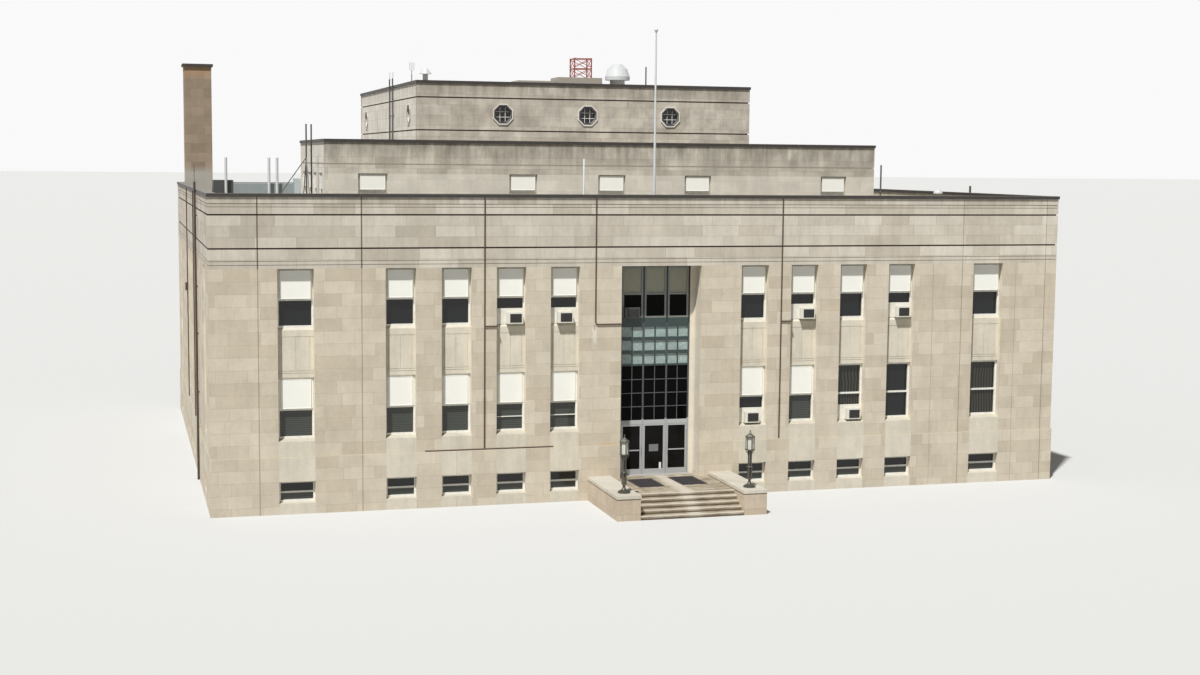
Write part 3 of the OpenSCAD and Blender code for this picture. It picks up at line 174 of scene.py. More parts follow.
wall_course, belt_z, wall_block = 0.4927, 2.29, 1.22
full_seams = [-16.43, -12.40, 13.72, 17.76]
wall_seams = [(x, 0.018, 0.55) for x in full_seams] + [(x, 0.012, 0.4) for x in (12.34, 16.32)]
elbow_x, elbow_z = -2.87, 7.25
wall_runs = [(elbow_x, 0.13, 6.2, 7.2, "#efe6d8", 0.75), (elbow_x, 0.05, 7.02, elbow_z, "#a3603c", 0.8),
             (-2.1, 0.7, 2.22, 2.34, "#c9a56c", 0.45), (-7.45, 0.12, 2.3, 4.4, "#9c8d74", 0.4),
             (5.3, 0.12, 2.3, 4.0, "#9c8d74", 0.4), (-9.2, 0.25, 8.2, 9.7, "#a79b86", 0.4)]
# Painted highlight: a pale line along the top of the belt ledge, where the sun falls on it.
ledge_highlight = [(belt_z - 0.016, 0.018, 0.4, "#e6dcc8")]
wall_stone = limestone("sawn limestone", ["#dacfba", "#c8bba5"], "#b3a68e", wall_course, belt_z,
                       wall_block, 0.93, -0.15, wall_seams, ledge_highlight, reveal="#e3dac7", runs_down=wall_runs)
dress(wall_stone, "front_piers", "back_piers", "side_piers", "entrance_surround")

# Aprons and spandrels under the windows: one pale stone each, as wide as its window, so it has
# no level joints. They are washed by the rain that runs off the sills.
panel_stone = limestone("rubbed limestone", ["#e0d8c5", "#dad2be"], "#b3a990", 2.6, belt_z, 9.0, 0.88,
                        grooves=ledge_highlight)
dress(panel_stone, "aprons", "spandrels")

# Frieze over the windows: limestone in three courses between the two main grooves. It is greyer
# than the wall, with soot under the coping, and its grooves are darkened with painted shade.
# Painted shade: a near black colour along the grooves, where their shade falls.
groove_shade = "#554536"
main_grooves = [(height, 0.031, 0.95, groove_shade) for height in (10.47, 11.78)]
fine_grooves = [(height, 0.011, 0.3, groove_shade) for height in (9.83, 9.98, 12.08, 12.20)]
frieze_seams = [(-16.43, 0.028, 0.9), (-12.40, 0.028, 0.9), (13.72, 0.012, 0.6), (17.76, 0.012, 0.6)]
frieze_stone = limestone("frieze limestone", ["#dcd4c4", "#c5bbaa"], "#9c907b", 0.4367, 10.47, 1.6, 0.88,
                         0.0, frieze_seams, main_grooves + fine_grooves, (12.47, 0.45, 0.3),
                         across=(0.94, 1.08))
dress(frieze_stone, "front_frieze", "back_frieze", "side_friezes")

# Copings: sheets of painted metal folded over the tops of the parapets. Their tops have faded
# pale, and their dripping edges are nearly black.
coping_paint, place, _ = start("dark painted sheet metal")
fade = add(coping_paint, "TexNoise", {"Vector": place, "Scale": 3.0, "Detail": 6.0, "Roughness": 0.7})
edge = add(coping_paint, "MixRGB", (fade, linear("#211d1b"), linear("#453f3a")))
normal = add(coping_paint, "TexCoord").node.outputs["Normal"]
upward = add(coping_paint, "SeparateXYZ", (normal,)).node.outputs["Z"]
faded_top = add(coping_paint, "MixRGB", (fade, linear("#4f4b47"), linear("#75716b")))
on_top = add(coping_paint, "MapRange", (upward, 0.4, 0.9, 0.0, 1.0))
coping_colour = add(coping_paint, "MixRGB", (on_top, edge, faded_top))
paint_on(coping_paint, coping_colour, 0.55)
dress(coping_paint, "long_copings", "side_copings")

# Sashes: wooden frames under cream-white paint, two sashes to a window, with dirt in the corners.
# The three over the entrance screen are coloured grey, as painted shade for the shadow of the entrance
# head.
sash_paint, place, split = start("gloss paint on wood")
dirt = add(sash_paint, "TexNoise", {"Vector": place, "Scale": 5.0, "Detail": 7.0, "Roughness": 0.7})
dirty = add(sash_paint, "MapRange", (dirt, 0.45, 0.75, 0.0, 1.0))
painted = add(sash_paint, "MixRGB", (dirty, linear("#f0eee5"), linear("#d9d5c8")))
screen_reach, screen_head = 1.46, 11.0
# Painted shade: the sashes in the entrance screen are greyed, for the shadow of the entrance head.
shaded_in_screen = add(sash_paint, "Math", (split["X"], 0.0, screen_reach), operation="COMPARE")
for part in (add(sash_paint, "Math", (split["Y"], front_limit), operation="LESS_THAN"),
             add(sash_paint, "Math", (split["Z"], screen_head), operation="LESS_THAN")):
    shaded_in_screen = add(sash_paint, "Math", (shaded_in_screen, part), operation="MULTIPLY")
painted = add(sash_paint, "MixRGB", (shaded_in_screen, painted, linear("#8b8e89")))
paint_on(sash_paint, shade_upward_faces(sash_paint, painted), 0.45)
dress(sash_paint, "upper_sashes", "lower_sashes", "basement_sashes", "tier2_windows")

# Window panes: clear float glass. The rooms behind look nearly black upstairs; blinds make the
# lower storey and the basement paler, and two lower windows have dark curtains in folds.
window_glass, place, split = start("float glass before unlit rooms")
ripple = add(window_glass, "TexNoise", {"Vector": place, "Scale": 0.8, "Detail": 2.0})
room = add(window_glass, "MixRGB", (ripple, linear("#0e1011"), linear("#1d2021")))
slats = add(window_glass, "TexWave", {"Vector": place, "Scale": 4.2, "Distortion": 0.0},
            bands_direction="Z").node.outputs[1]
blind = add(window_glass, "MixRGB", (slats, linear("#353832"), linear("#484b45")))
folds = add(window_glass, "TexWave", {"Vector": place, "Scale": 2.3, "Distortion": 6.0,
                                      "Detail Scale": 0.35}, bands_direction="X").node.outputs[1]
curtain = add(window_glass, "MixRGB", (folds, linear("#141411"), linear("#403e35")))
bay_pitch, first_bay, end_bay = 2.245, 4.115, 14.976
main_bays = [first_bay + i * bay_pitch for i in range(4)]
lower_light, cellar_light, curtain_light = (3.5, 0.62), (0.68, 0.22), (4.15, 1.3)
lower_row = add(window_glass, "Math", (split["Z"], *lower_light), operation="COMPARE")
cellar_row = add(window_glass, "Math", (split["Z"], *cellar_light), operation="COMPARE")
blinded = add(window_glass, "Math", (lower_row, cellar_row), operation="MAXIMUM")
behind = add(window_glass, "MixRGB", (blinded, room, blind))
for x, reach, backing in ((main_bays[0], 0.55, room), (main_bays[2], 0.55, curtain),
                          (main_bays[3], 0.55, room), (end_bay, 0.65, curtain)):
    hung = add(window_glass, "Math", (split["X"], x, reach), operation="COMPARE")
    for part in (add(window_glass, "Math", (split["Z"], *curtain_light), operation="COMPARE"),
                 add(window_glass, "Math", (split["Y"], front_limit), operation="LESS_THAN")):
        hung = add(window_glass, "Math", (hung, part), operation="MULTIPLY")
    behind = add(window_glass, "MixRGB", (hung, behind, backing))
shader = paint_on(window_glass, behind, 0.05)
shader.inputs["IOR"].default_value = 1.5
wave = add(window_glass, "Bump", {"Height": ripple, "Strength": 0.15, "Distance": 0.01})
window_glass.node_tree.links.new(wave, shader.inputs["Normal"])
dress(window_glass, "window_panes")

# Glass of the entrance screen and its leaves: grey tinted float glass, set in their metal frames
# and nearly black against the unlit hall.
hall_glass, place, split = start("grey tinted float glass")
gloom = add(hall_glass, "TexNoise", {"Vector": place, "Scale": 1.1, "Detail": 4.0})
by_door = add(hall_glass, "Math", (split["Z"], 3.0), operation="LESS_THAN")
dark_hall = add(hall_glass, "MixRGB", (gloom, linear("#020202"), linear("#0d0d0c")))
low_gloom = add(hall_glass, "Math", (by_door, gloom), operation="MULTIPLY")
hall_colour = add(hall_glass, "MixRGB", (low_gloom, dark_hall, linear("#211f1d")))
shader = paint_on(hall_glass, hall_colour, 0.08)
shader.inputs["Specular IOR Level"].default_value = 0.05
hall_wave = add(hall_glass, "Bump", {"Height": gloom, "Strength": 0.1, "Distance": 0.01})
hall_glass.node_tree.links.new(hall_wave, shader.inputs["Normal"])
dress(hall_glass, "screen_panes", "left_door_pane", "right_door_pane")

# Blank panels: boxed insulating boards of cream enamelled steel, screwed over the upper lights of
# nearly every window by a flange all round. They are modelled at the origin, then copied along the
# four walls.
bay_w, end_w = 1.22, 1.417
sash_face = 0.3
side_end_inset = 3.324
side_end = (back_y - front_y) / 2 - side_end_inset
back_middle = [-first_bay / 2, 0, first_bay / 2]
walls = {
    "front": (0, front_y, 0, sorted([-x for x in main_bays] + main_bays)),
    "back": (0, back_y, math.pi, sorted([-x for x in main_bays] + back_middle + main_bays)),
    "left": (-side_x, side_mid, -math.pi / 2, [i * bay_pitch for i in range(-2, 3)]),
    "right": (side_x, side_mid, math.pi / 2, [i * bay_pitch for i in range(-2, 3)]),
}
wall_ends = {"front": end_bay, "back": end_bay, "left": side_end, "right": side_end}


def only(*pieces):
    """Selects these pieces and nothing else, the last one active."""
    bpy.ops.object.select_all(action="DESELECT")
    for piece in pieces:
        piece.select_set(True)
        bpy.context.view_layer.objects.active = piece


def block(name, low, high):
    """Adds a cube from its low corner to its high corner, with its place in its mesh."""
    bpy.ops.object.select_all(action="DESELECT")
    bpy.ops.mesh.primitive_cube_add(size=1, location=[(a + b) / 2 for a, b in zip(low, high)],
                                    scale=[b - a for a, b in zip(low, high)])
    bpy.ops.object.transform_apply(location=True, rotation=True, scale=True)
    piece = bpy.context.object
    piece.name = piece.data.name = name
    return piece


def sink_face(piece, side, rim, depth):
    """Insets the face that looks along side by rim, and pushes it in by depth."""
    only(piece)
    bpy.ops.object.mode_set(mode="EDIT")
    bpy.ops.mesh.select_all(action="DESELECT")
    bpy.ops.object.mode_set(mode="OBJECT")
    for face in piece.data.polygons:
        face.select = face.normal.dot(side) > 0.9
    bpy.ops.object.mode_set(mode="EDIT")
    bpy.ops.mesh.select_mode(type="FACE")
    bpy.ops.mesh.inset(thickness=rim, depth=0)
    bpy.ops.mesh.inset(thickness=rim / 3, depth=-depth)
    bpy.ops.object.mode_set(mode="OBJECT")


def ease(piece, width, segments=2):
    """Rounds the edges of a piece with a bevel that is applied."""
    only(piece)
    cut = piece.modifiers.new("eased edges", "BEVEL")
    cut.width = width
    cut.segments = segments
    bpy.ops.object.modifier_apply(modifier=cut.name)


def merge(name, pieces):
    """Joins pieces into one."""
    only(*pieces)
    if len(pieces) > 1:
        bpy.ops.object.join()
    bpy.context.object.name = bpy.context.object.data.name = name
    return bpy.context.object


def repeat(piece, places):
    """Copies piece to each (x, y, z, turn about z) and joins the copies into one piece."""
    name = piece.name
    copies = []
    for x, y, z, turn in places:
        copy = piece.copy()
        copy.data = piece.data.copy()
        copy.location, copy.rotation_euler = (x, y, z), (0, 0, turn)
        bpy.context.collection.objects.link(copy)
        copies.append(copy)
    bpy.data.objects.remove(piece)
    merge(name, copies)
    bpy.ops.object.transform_apply(location=True, rotation=True, scale=True)
    return bpy.context.object


def finish(piece, material, body="building"):
    """Paints a piece and lets it ride on a body."""
    piece.data.materials.clear()
    piece.data.materials.append(material)
    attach(piece, body)


def along_walls(bays, z, skip=()):
    """Places on the four walls: where each listed bay's middle meets the wall face."""
    spots = []
    for wall, (x0, y0, turn, row) in walls.items():
        for x in (row if bays == "main" else [-wall_ends[wall], wall_ends[wall]]):
            if (wall, round(x, 3)) not in skip:
                spots.append((x0 + x * math.cos(turn), y0 + x * math.sin(turn), z, turn))
    return spots


enamel, place, _ = start("cream enamelled board")
chalk = add(enamel, "TexNoise", {"Vector": place, "Scale": 1.3, "Detail": 5.0, "Roughness": 0.6})
paint_on(enamel, add(enamel, "MixRGB", (chalk, linear("#fdfcf4"), linear("#f2f1e5"))), 0.5)

upper_z, upper_h, board_face = 8.485, 1.125, 0.19
lower_z, lower_h, low_board_face = 4.145, 1.175, 0.235
flange_w, flange_face = 0.115, 0.28
board_edge = 0.03
shut_low = [("front", round(x, 3)) for x in (main_bays[2], main_bays[3], end_bay)]
for name, width, z, height, bays, skip in (
        ("upper_panels", bay_w, upper_z, upper_h, "main", ()),
        ("upper_end_panels", end_w, upper_z, upper_h, "end", ()),
        ("lower_panels", bay_w, lower_z, lower_h, "main", shut_low),
        ("lower_end_panels", end_w, lower_z, lower_h, "end", shut_low)):
    face = board_face if z == upper_z else low_board_face
    flange = block("flange", (-width / 2 + board_edge, flange_face, 0),
                   (width / 2 - board_edge, sash_face - 0.001, height))
    ease(flange, 0.003)
    box = block("box", (-width / 2 + flange_w, face, 0.012),
                (width / 2 - flange_w, flange_face, height - 0.004))
    sink_face(box, (0, -1, 0), 0.02, 0.004)
    board = merge(name, [flange, box])
    board = repeat(board, along_walls(bays, z, skip))
    finish(board, enamel)

# Second tier's window boards: cream enamelled steel as on the main block, but flatter and with no
# flange, one fixed over each window of the front and of both sides.
tier2_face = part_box("tier2_front_wall")[0][1]
tier2_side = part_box("tier2_front_wall")[1][0]
tier2_mid = (tier2_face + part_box("tier2_side_walls")[1][1]) / 2
tier2_row = [-main_bays[3], -first_bay, 0, first_bay, main_bays[3]]
flat_w, flat_face, flat_back, flat_low, flat_top = 1.1, 0.04, 0.149, 12.63, 13.29
flat_board = block("tier2_window_boards", (-flat_w / 2, flat_face, flat_low),
                   (flat_w / 2, flat_back, flat_top))
sink_face(flat_board, (0, -1, 0), 0.02, 0.005)
side_lights = [(side * tier2_side, tier2_mid - side * (i - 1.5) * bay_pitch, 0, side * math.pi / 2)
               for side in (-1, 1) for i in range(4)]
flat_board = repeat(flat_board, [(x, tier2_face, 0, 0) for x in tier2_row] + side_lights)
finish(flat_board, enamel)

# Glazing bars: wood under the same cream-white paint as the sashes, one let in across the lower
# light of each of two lower windows.
bar_z, bar_h, bar_inset, bar_face, bar_back = 3.565, 0.036, 0.07, 0.02, 0.069
glazing_bar = block("lower_glazing_bars", (-bay_w / 2 + bar_inset, sash_face + bar_face, -bar_h / 2),
                    (bay_w / 2 - bar_inset, sash_face + bar_back, bar_h / 2))
ease(glazing_bar, 0.006)
glazing_bar = repeat(glazing_bar, [(-x, front_y, bar_z, 0) for x in (main_bays[1], main_bays[0])])
finish(glazing_bar, sash_paint)

# Entrance screen: aluminium posts gone dull grey, and darker beside the three sashes as painted shade
# for the shadow of the entrance head. The transom over the doors is brighter, and the rails between
# the rough panes are green-grey.
screen_metal, place, split = start("dulled anodised aluminium")
transom_top, sash_row_z = 3.2, 7.25
haze = add(screen_metal, "TexNoise", {"Vector": place, "Scale": 6.0, "Detail": 7.0, "Roughness": 0.7})
dulled_and_shaded = add(screen_metal, "MixRGB", (haze, linear("#44484a"), linear("#5a5e60")))
bright = add(screen_metal, "Math", (split["Z"], transom_top), operation="LESS_THAN")
# Painted shade: the posts above the sash row are darkened, for the shadow of the entrance head.
high_up = add(screen_metal, "Math", (split["Z"], sash_row_z), operation="GREATER_THAN")
dulled_and_shaded = add(screen_metal, "MixRGB", (high_up, dulled_and_shaded, linear("#20282a")))
paint_on(screen_metal, add(screen_metal, "MixRGB", (bright, dulled_and_shaded, linear("#a9acac"))), 0.5)
screen_metal.node_tree.nodes["Principled BSDF"].inputs["Metallic"].default_value = 0.25
dress(screen_metal, "screen_posts")

rail_paint, place, split = start("green-grey paint on steel")
wear = add(rail_paint, "TexNoise", {"Vector": place, "Scale": 8.0, "Detail": 6.0, "Roughness": 0.7})
worn = add(rail_paint, "MixRGB", (wear, linear("#263332"), linear("#3e4c4a")))
bright = add(rail_paint, "Math", (split["Z"], transom_top), operation="LESS_THAN")
paint_on(rail_paint, add(rail_paint, "MixRGB", (bright, worn, linear("#b4b7b6"))), 0.5)
dress(rail_paint, "screen_rails")

bar_metal, place, _ = start("clear anodised aluminium")
film = add(bar_metal, "TexNoise", {"Vector": place, "Scale": 14.0, "Detail": 5.0})
paint_on(bar_metal, add(bar_metal, "MixRGB", (film, linear("#414044"), linear("#646267"))), 0.4)
dress(bar_metal, "screen_muntins")

# Rough panes: cast glass with a pebbled face, which no one can see through, set between the rails
# of the screen. It is pale green where the light falls on it.
rough_glass, place, _ = start("rough-cast glass")
pebble = add(rough_glass, "TexVoronoi", {"Vector": place, "Scale": 22.0})
cloudy = add(rough_glass, "TexNoise", {"Vector": place, "Scale": 4.0, "Detail": 4.0})
cast = add(rough_glass, "MixRGB", (pebble, linear("#7d918c"), linear("#b2c2bd")))
lightness = add(rough_glass, "MapRange", (cloudy, 0.3, 0.7, 0.85, 1.12))
cast = add(rough_glass, "VectorMath", {0: cast, "Scale": lightness}, operation="SCALE")
shader = paint_on(rough_glass, cast, 0.35)
dimple = add(rough_glass, "Bump", {"Height": pebble, "Strength": 0.6, "Distance": 0.01})
rough_glass.node_tree.links.new(dimple, shader.inputs["Normal"])
dress(rough_glass, "rough_panes")

# Shades: grey-cream blinds pulled half way down in the three sashes over the screen, each with a
# weighted hem.
shade_cloth, place, _ = start("grey-cream blind board")
weave = add(shade_cloth, "TexNoise", {"Vector": place, "Scale": 3.0, "Detail": 6.0, "Roughness": 0.6})
paint_on(shade_cloth, add(shade_cloth, "MixRGB", (weave, linear("#b1b2a1"), linear("#9a9b8b"))), 0.8)
screen_inset, pane_gap = 0.82, 0.004
screen_y = front_y + screen_inset
shade_low, shade_top, shade_face, shade_back = 8.51, 9.52, 0.045, 0.075
hem_h, hem_face, hem_back = 0.05, 0.036, 0.046
screen_lights = [(-1.375, -0.62), (-0.4, 0.4), (0.62, 1.375)]
shades = []
for low_x, high_x in screen_lights:
    shade = block("shade", (low_x + pane_gap, screen_y + shade_face, shade_low),
                  (high_x - pane_gap, screen_y + shade_back, shade_top))
    sink_face(shade, (0, -1, 0), 0.02, 0.005)
    hem = block("hem", (low_x + pane_gap, screen_y + hem_face, shade_low),
                (high_x - pane_gap, screen_y + hem_back, shade_low + hem_h))
    ease(hem, 0.004)
    shades += [shade, hem]
finish(merge("screen_shades", shades), shade_cloth)

# Door leaves: brushed aluminium frames round glass. A flat push rail crosses each swinging leaf
# in front of its pane, and the fixed one carries two blank paper sheets.
leaf_metal, place, _ = start("brushed aluminium")
along_grain = add(leaf_metal, "Mapping", {"Vector": place, "Scale": (1, 1, 0.03)})
brush = add(leaf_metal, "TexNoise", {"Vector": along_grain, "Scale": 120.0, "Detail": 3.0})
shader = paint_on(leaf_metal, add(leaf_metal, "MixRGB", (brush, linear("#a3a5a6"), linear("#c4c6c6"))),
                  0.42)
shader.inputs["Metallic"].default_value = 0.3
dress(leaf_metal, "fixed_leaf", "left_door", "right_door")

rail_z, rail_h = 1.86, 0.05
for side in ("left", "right"):
    (low_x, pane_y, _), (high_x, _, _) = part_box(side + "_door_pane")
    rail = block(side + "_push_rail", (low_x + 0.001, pane_y - 0.013, rail_z - rail_h / 2),
                 (high_x - 0.001, pane_y - 0.001, rail_z + rail_h / 2))
    ease(rail, 0.003)
    finish(rail, leaf_metal, side + "_leaf")

paper, place, split = start("uncoated paper")
pulp = add(paper, "TexNoise", {"Vector": place, "Scale": 60.0, "Detail": 4.0})
grey_sheet_x, sheet_face, sheet_back = 0.22, 0.0175, 0.0205
grey_sheet = add(paper, "Math", (split["X"], grey_sheet_x), operation="LESS_THAN")
blank = add(paper, "MixRGB", (pulp, linear("#d9d9d2"), linear("#ecece6")))
paint_on(paper, add(paper, "MixRGB", (grey_sheet, blank, linear("#7a7b7c"))), 0.9)
notices = []
for low_x, high_x, low_z, high_z in ((-0.21, 0.2, 1.8, 2.1), (0.24, 0.34, 1.06, 1.32)):
    sheet = block("sheet", (low_x, screen_y + sheet_face, low_z), (high_x, screen_y + sheet_back, high_z))
    sink_face(sheet, (0, -1, 0), 0.012, 0.001)
    notices.append(sheet)
finish(merge("blank_notices", notices), paper)

# Steps, cheek walls and caps: honed limestone. Treads are foot-worn and pale along a spill down the
# middle, with brown stains. The foot of each riser is darkened with painted shade, and the top of
# each riser, under the nosing, is lightened with a painted highlight.
riser_h = 0.168
step_stone, place, split = start("foot-worn limestone")
slabs = add(step_stone, "TexBrick", {"Vector": place, "Color1": linear("#beb29c"),
                                     "Color2": linear("#ab9e87"), "Mortar": linear("#85795f"), "Scale": 1.0,
                                     "Mortar Size": 0.008, "Mortar Smooth": 0.3, "Brick Width": 1.42,
                                     "Row Height": 0.95}).node.outputs["Color"]
rough_feet = add(step_stone, "TexNoise", {"Vector": place, "Scale": 30.0, "Detail": 4.0, "Roughness": 0.7})
flat_place = add(step_stone, "Mapping", {"Vector": place, "Scale": (0.6, 1.0, 2.0)})
blot = add(step_stone, "TexNoise", {"Vector": flat_place, "Scale": 2.6, "Detail": 7.0, "Roughness": 0.68})
brown = add(step_stone, "MapRange", (blot, 0.47, 0.62, 0.0, 0.7))
trodden = add(step_stone, "MixRGB", (brown, slabs, linear("#7c6a50")))
pale = add(step_stone, "MapRange", (blot, 0.44, 0.33, 0.0, 0.6))
trodden = add(step_stone, "MixRGB", (pale, trodden, linear("#d9d0be")))
spill_x = 0.12
off_spill = add(step_stone, "Math", (split["X"], spill_x), operation="SUBTRACT")
off_spill = add(step_stone, "Math", (off_spill,), operation="ABSOLUTE")
spill = add(step_stone, "Math", (add(step_stone, "MapRange", (off_spill, 0.12, 0.42, 0.85, 0.0)),
                                 add(step_stone, "MapRange", (rough_feet, 0.3, 0.6, 0.6, 1.0))),
            operation="MULTIPLY")
trodden = add(step_stone, "MixRGB", (spill, trodden, linear("#dcd3c2")))
normal = add(step_stone, "TexCoord").node.outputs["Normal"]
facing_up = add(step_stone, "SeparateXYZ", (normal,)).node.outputs["Z"]
up_riser = add(step_stone, "Math", (split["Z"], riser_h), operation="MODULO")
upright = add(step_stone, "MapRange", (facing_up, 0.3, 0.6, 1.0, 0.0))
# Painted shade at the foot of each riser and a painted highlight at its top, under the nosing.
for low, high, dark, light, code in ((0.03, 0.12, 0.9, 0.0, "#4d3f2d"),
                                     (0.118, 0.14, 0.0, 0.85, "#f1e9da")):
    band = add(step_stone, "MapRange", (up_riser, low, high, dark, light))
    band = add(step_stone, "Math", (band, upright), operation="MULTIPLY")
    trodden = add(step_stone, "MixRGB", (band, trodden, linear(code)))
worn_tone = add(step_stone, "MapRange", (rough_feet, 0.25, 0.75, 0.92, 1.05))
worn = add(step_stone, "VectorMath", {0: trodden, "Scale": worn_tone}, operation="SCALE")
shader = paint_on(step_stone, shade_upward_faces(step_stone, worn), 0.9)
step_bump = add(step_stone, "Bump", {"Height": rough_feet, "Strength": 0.4, "Distance": 0.004})
step_stone.node_tree.links.new(step_bump, shader.inputs["Normal"])
dress(step_stone, "steps")
# The dark band under the caps is painted shade, where the caps' shadow falls.
cheek_stone = limestone("cheek limestone", ["#d3c3ad", "#c9b79f"], "#9c8f78", 0.62, 0.25, 2.1, 0.84,
                        top=(0.87, 0.06, 0.8))
dress(cheek_stone, "cheek_walls")
cap_stone = limestone("cap limestone", ["#dcd5c6", "#d3cbba"], "#a99d86", 3.0, 0.0, 2.0, 0.88)
dress(cap_stone, "cheek_caps")

# Door mats: two moulded rubber mats with raised ribs inside a bevelled border, laid loose on the
# landing before the doors.
rubber, place, _ = start("moulded black rubber")
dust = add(rubber, "TexNoise", {"Vector": place, "Scale": 7.0, "Detail": 7.0, "Roughness": 0.7})
paint_on(rubber, add(rubber, "MixRGB", (dust, linear("#1c181a"), linear("#3b3436"))), 0.85)
landing_z = 0.84
mat_w, mat_l, mat_t = 1.1, 1.76, 0.014
rib_pitch, rib_x, rib_y, rib_foot, rib_top = 0.04, 0.07, 0.08, 0.006, mat_t - 0.002
for name, mat_x, mat_y, turn in (("left_mat", -0.96, -1.13, 0.03), ("right_mat", 0.9, -1.0, 0.045)):
    mat = block(name, (-mat_w / 2, -mat_l / 2, 0.0005), (mat_w / 2, mat_l / 2, mat_t))
    sink_face(mat, (0, 0, 1), 0.05, 0.006)
    rows = [-mat_l / 2 + rib_y + k * rib_pitch for k in range(int((mat_l - 2 * rib_y) / rib_pitch))]
    ribs = [block("rib", (-mat_w / 2 + rib_x, y, rib_foot), (mat_w / 2 - rib_x, y + rib_pitch / 2, rib_top))
            for y in rows]
    mat = repeat(merge(name, ribs + [mat]), [(mat_x, front_y + mat_y, landing_z, turn)])
    finish(mat, rubber)

# Post lanterns: cast bronze gone dull grey-brown and greener at the foot, one on each cheek
# wall. Their heads hold panes of opal glass.
lantern_bronze, place, split = start("weathered cast bronze")
patina = add(lantern_bronze, "TexNoise", {"Vector": place, "Scale": 16.0, "Detail": 7.0, "Roughness": 0.7})
dulled = add(lantern_bronze, "MixRGB", (patina, linear("#3a3833"), linear("#6e6c61")))
low_down = add(lantern_bronze, "MapRange", (split["Z"], 1.0, 1.35, 0.6, 0.0))
greened = add(lantern_bronze, "Math", (low_down, patina), operation="MULTIPLY")
bronze_colour = add(lantern_bronze, "MixRGB", (greened, dulled, linear("#3f4a43")))
shader = paint_on(lantern_bronze, bronze_colour, 0.45)
shader.inputs["Metallic"].default_value = 0.4
dress(lantern_bronze, "lantern_posts", "lantern_heads")

opal, place, _ = start("opal glass")
milk = add(opal, "TexNoise", {"Vector": place, "Scale": 5.0, "Detail": 4.0})
paint_on(opal, add(opal, "MixRGB", (milk, linear("#c2c3b6"), linear("#dcdcd0"))), 0.25)
dress(opal, "lantern_panes")

# Upper tiers: the same limestone, never cleaned, gone grey with dark runs and soot under the
# copings. The side walls of both tiers are paler.
tier_course, tier_joint_z, tier_block, ledge_z = 0.49, 11.6, 1.3, 13.74
# The groove at ledge_z is coloured pale: a painted highlight that takes its shade out.
tier2_stone = limestone("weathered limestone", ["#d0c9b9", "#bab2a2"], "#9c9485", tier_course, tier_joint_z,
                        tier_block, 0.84, -0.1,
                        grooves=[(12.9, 0.42, 0.4, "#efe9dc"), (ledge_z, 0.031, 0.7, "#f4eee2")],
                        top=(14.68, 1.2, 0.6), blotch=(0.8, 1.14))
dress(tier2_stone, "tier2_front_wall", "tier2_back_walls", "tier3_lower_walls")
# The tier grooves are darkened with the same painted shade.
tier3_grooves = [(15.32, 0.031, 0.85, groove_shade), (16.83, 0.031, 0.85, groove_shade)]
tier3_stone = limestone("grey weathered limestone", ["#cfc7b8", "#bbb2a2"], "#9c9485", tier_course,
                        tier_joint_z, tier_block, 0.84, -0.1, grooves=tier3_grooves,
                        top=(17.47, 0.8, 0.5), blotch=(0.78, 1.14))
dress(tier3_stone, "tier3_front_wall", "tier3_back_wall")
# Here too the groove at ledge_z is coloured pale, as a painted highlight against its shade.
pale_side_stone = limestone("pale side limestone", ["#f2ece0", "#e4dccf"], "#b3ab9c", tier_course,
                         tier_joint_z, tier_block, 0.82, -0.1,
                         grooves=tier3_grooves + [(ledge_z, 0.031, 0.5, "#f4eee2")], top=(17.47, 0.5, 0.25))
dress(pale_side_stone, "tier2_side_walls", "tier3_side_walls")

# Octagon windows: steel frames under dark grey paint, crossed by thin pale glazing bars, with a
# dark flange on the wall and a narrow stone border round it.
oct_paint, place, _ = start("dark grey paint on steel")
scuff = add(oct_paint, "TexNoise", {"Vector": place, "Scale": 11.0, "Detail": 6.0})
paint_on(oct_paint, add(oct_paint, "MixRGB", (scuff, linear("#33343a"), linear("#52535a"))), 0.5)
dress(oct_paint, "octagon_windows")
oct_z, oct_half, oct_off, oct_bar_w = 16.09, 0.38, 0.1267, 0.024
oct_reach, oct_flange, oct_border = oct_half - 0.045, oct_half + 0.05, oct_half + 0.11
tier3_face, tier3_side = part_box("tier3_front_wall")[0][1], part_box("tier3_side_walls")[1][0]
far_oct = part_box("octagon_windows")[1][1] - oct_half
oct_places = [(x, tier3_face, 0, 0) for x in (-first_bay, 0, first_bay)]
oct_pitch = 13.98
oct_places += [(side * tier3_side, y, 0, side * math.pi / 2)
               for side in (-1, 1) for y in (far_oct - oct_pitch, far_oct)]
upright_face, upright_back, level_face, level_back = 0.108, 0.121, 0.11, 0.1205
bars = []
for off in (-oct_off, oct_off):
    bars.append(block("upright", (off - oct_bar_w / 2, upright_face, oct_z - oct_reach),
                      (off + oct_bar_w / 2, upright_back, oct_z + oct_reach)))
    bars.append(block("level", (-oct_reach, level_face, oct_z + off - oct_bar_w / 2),
                      (oct_reach, level_back, oct_z + off + oct_bar_w / 2)))
for bar in bars:
    ease(bar, 0.003)
finish(repeat(merge("octagon_bars", bars), oct_places), sash_paint)
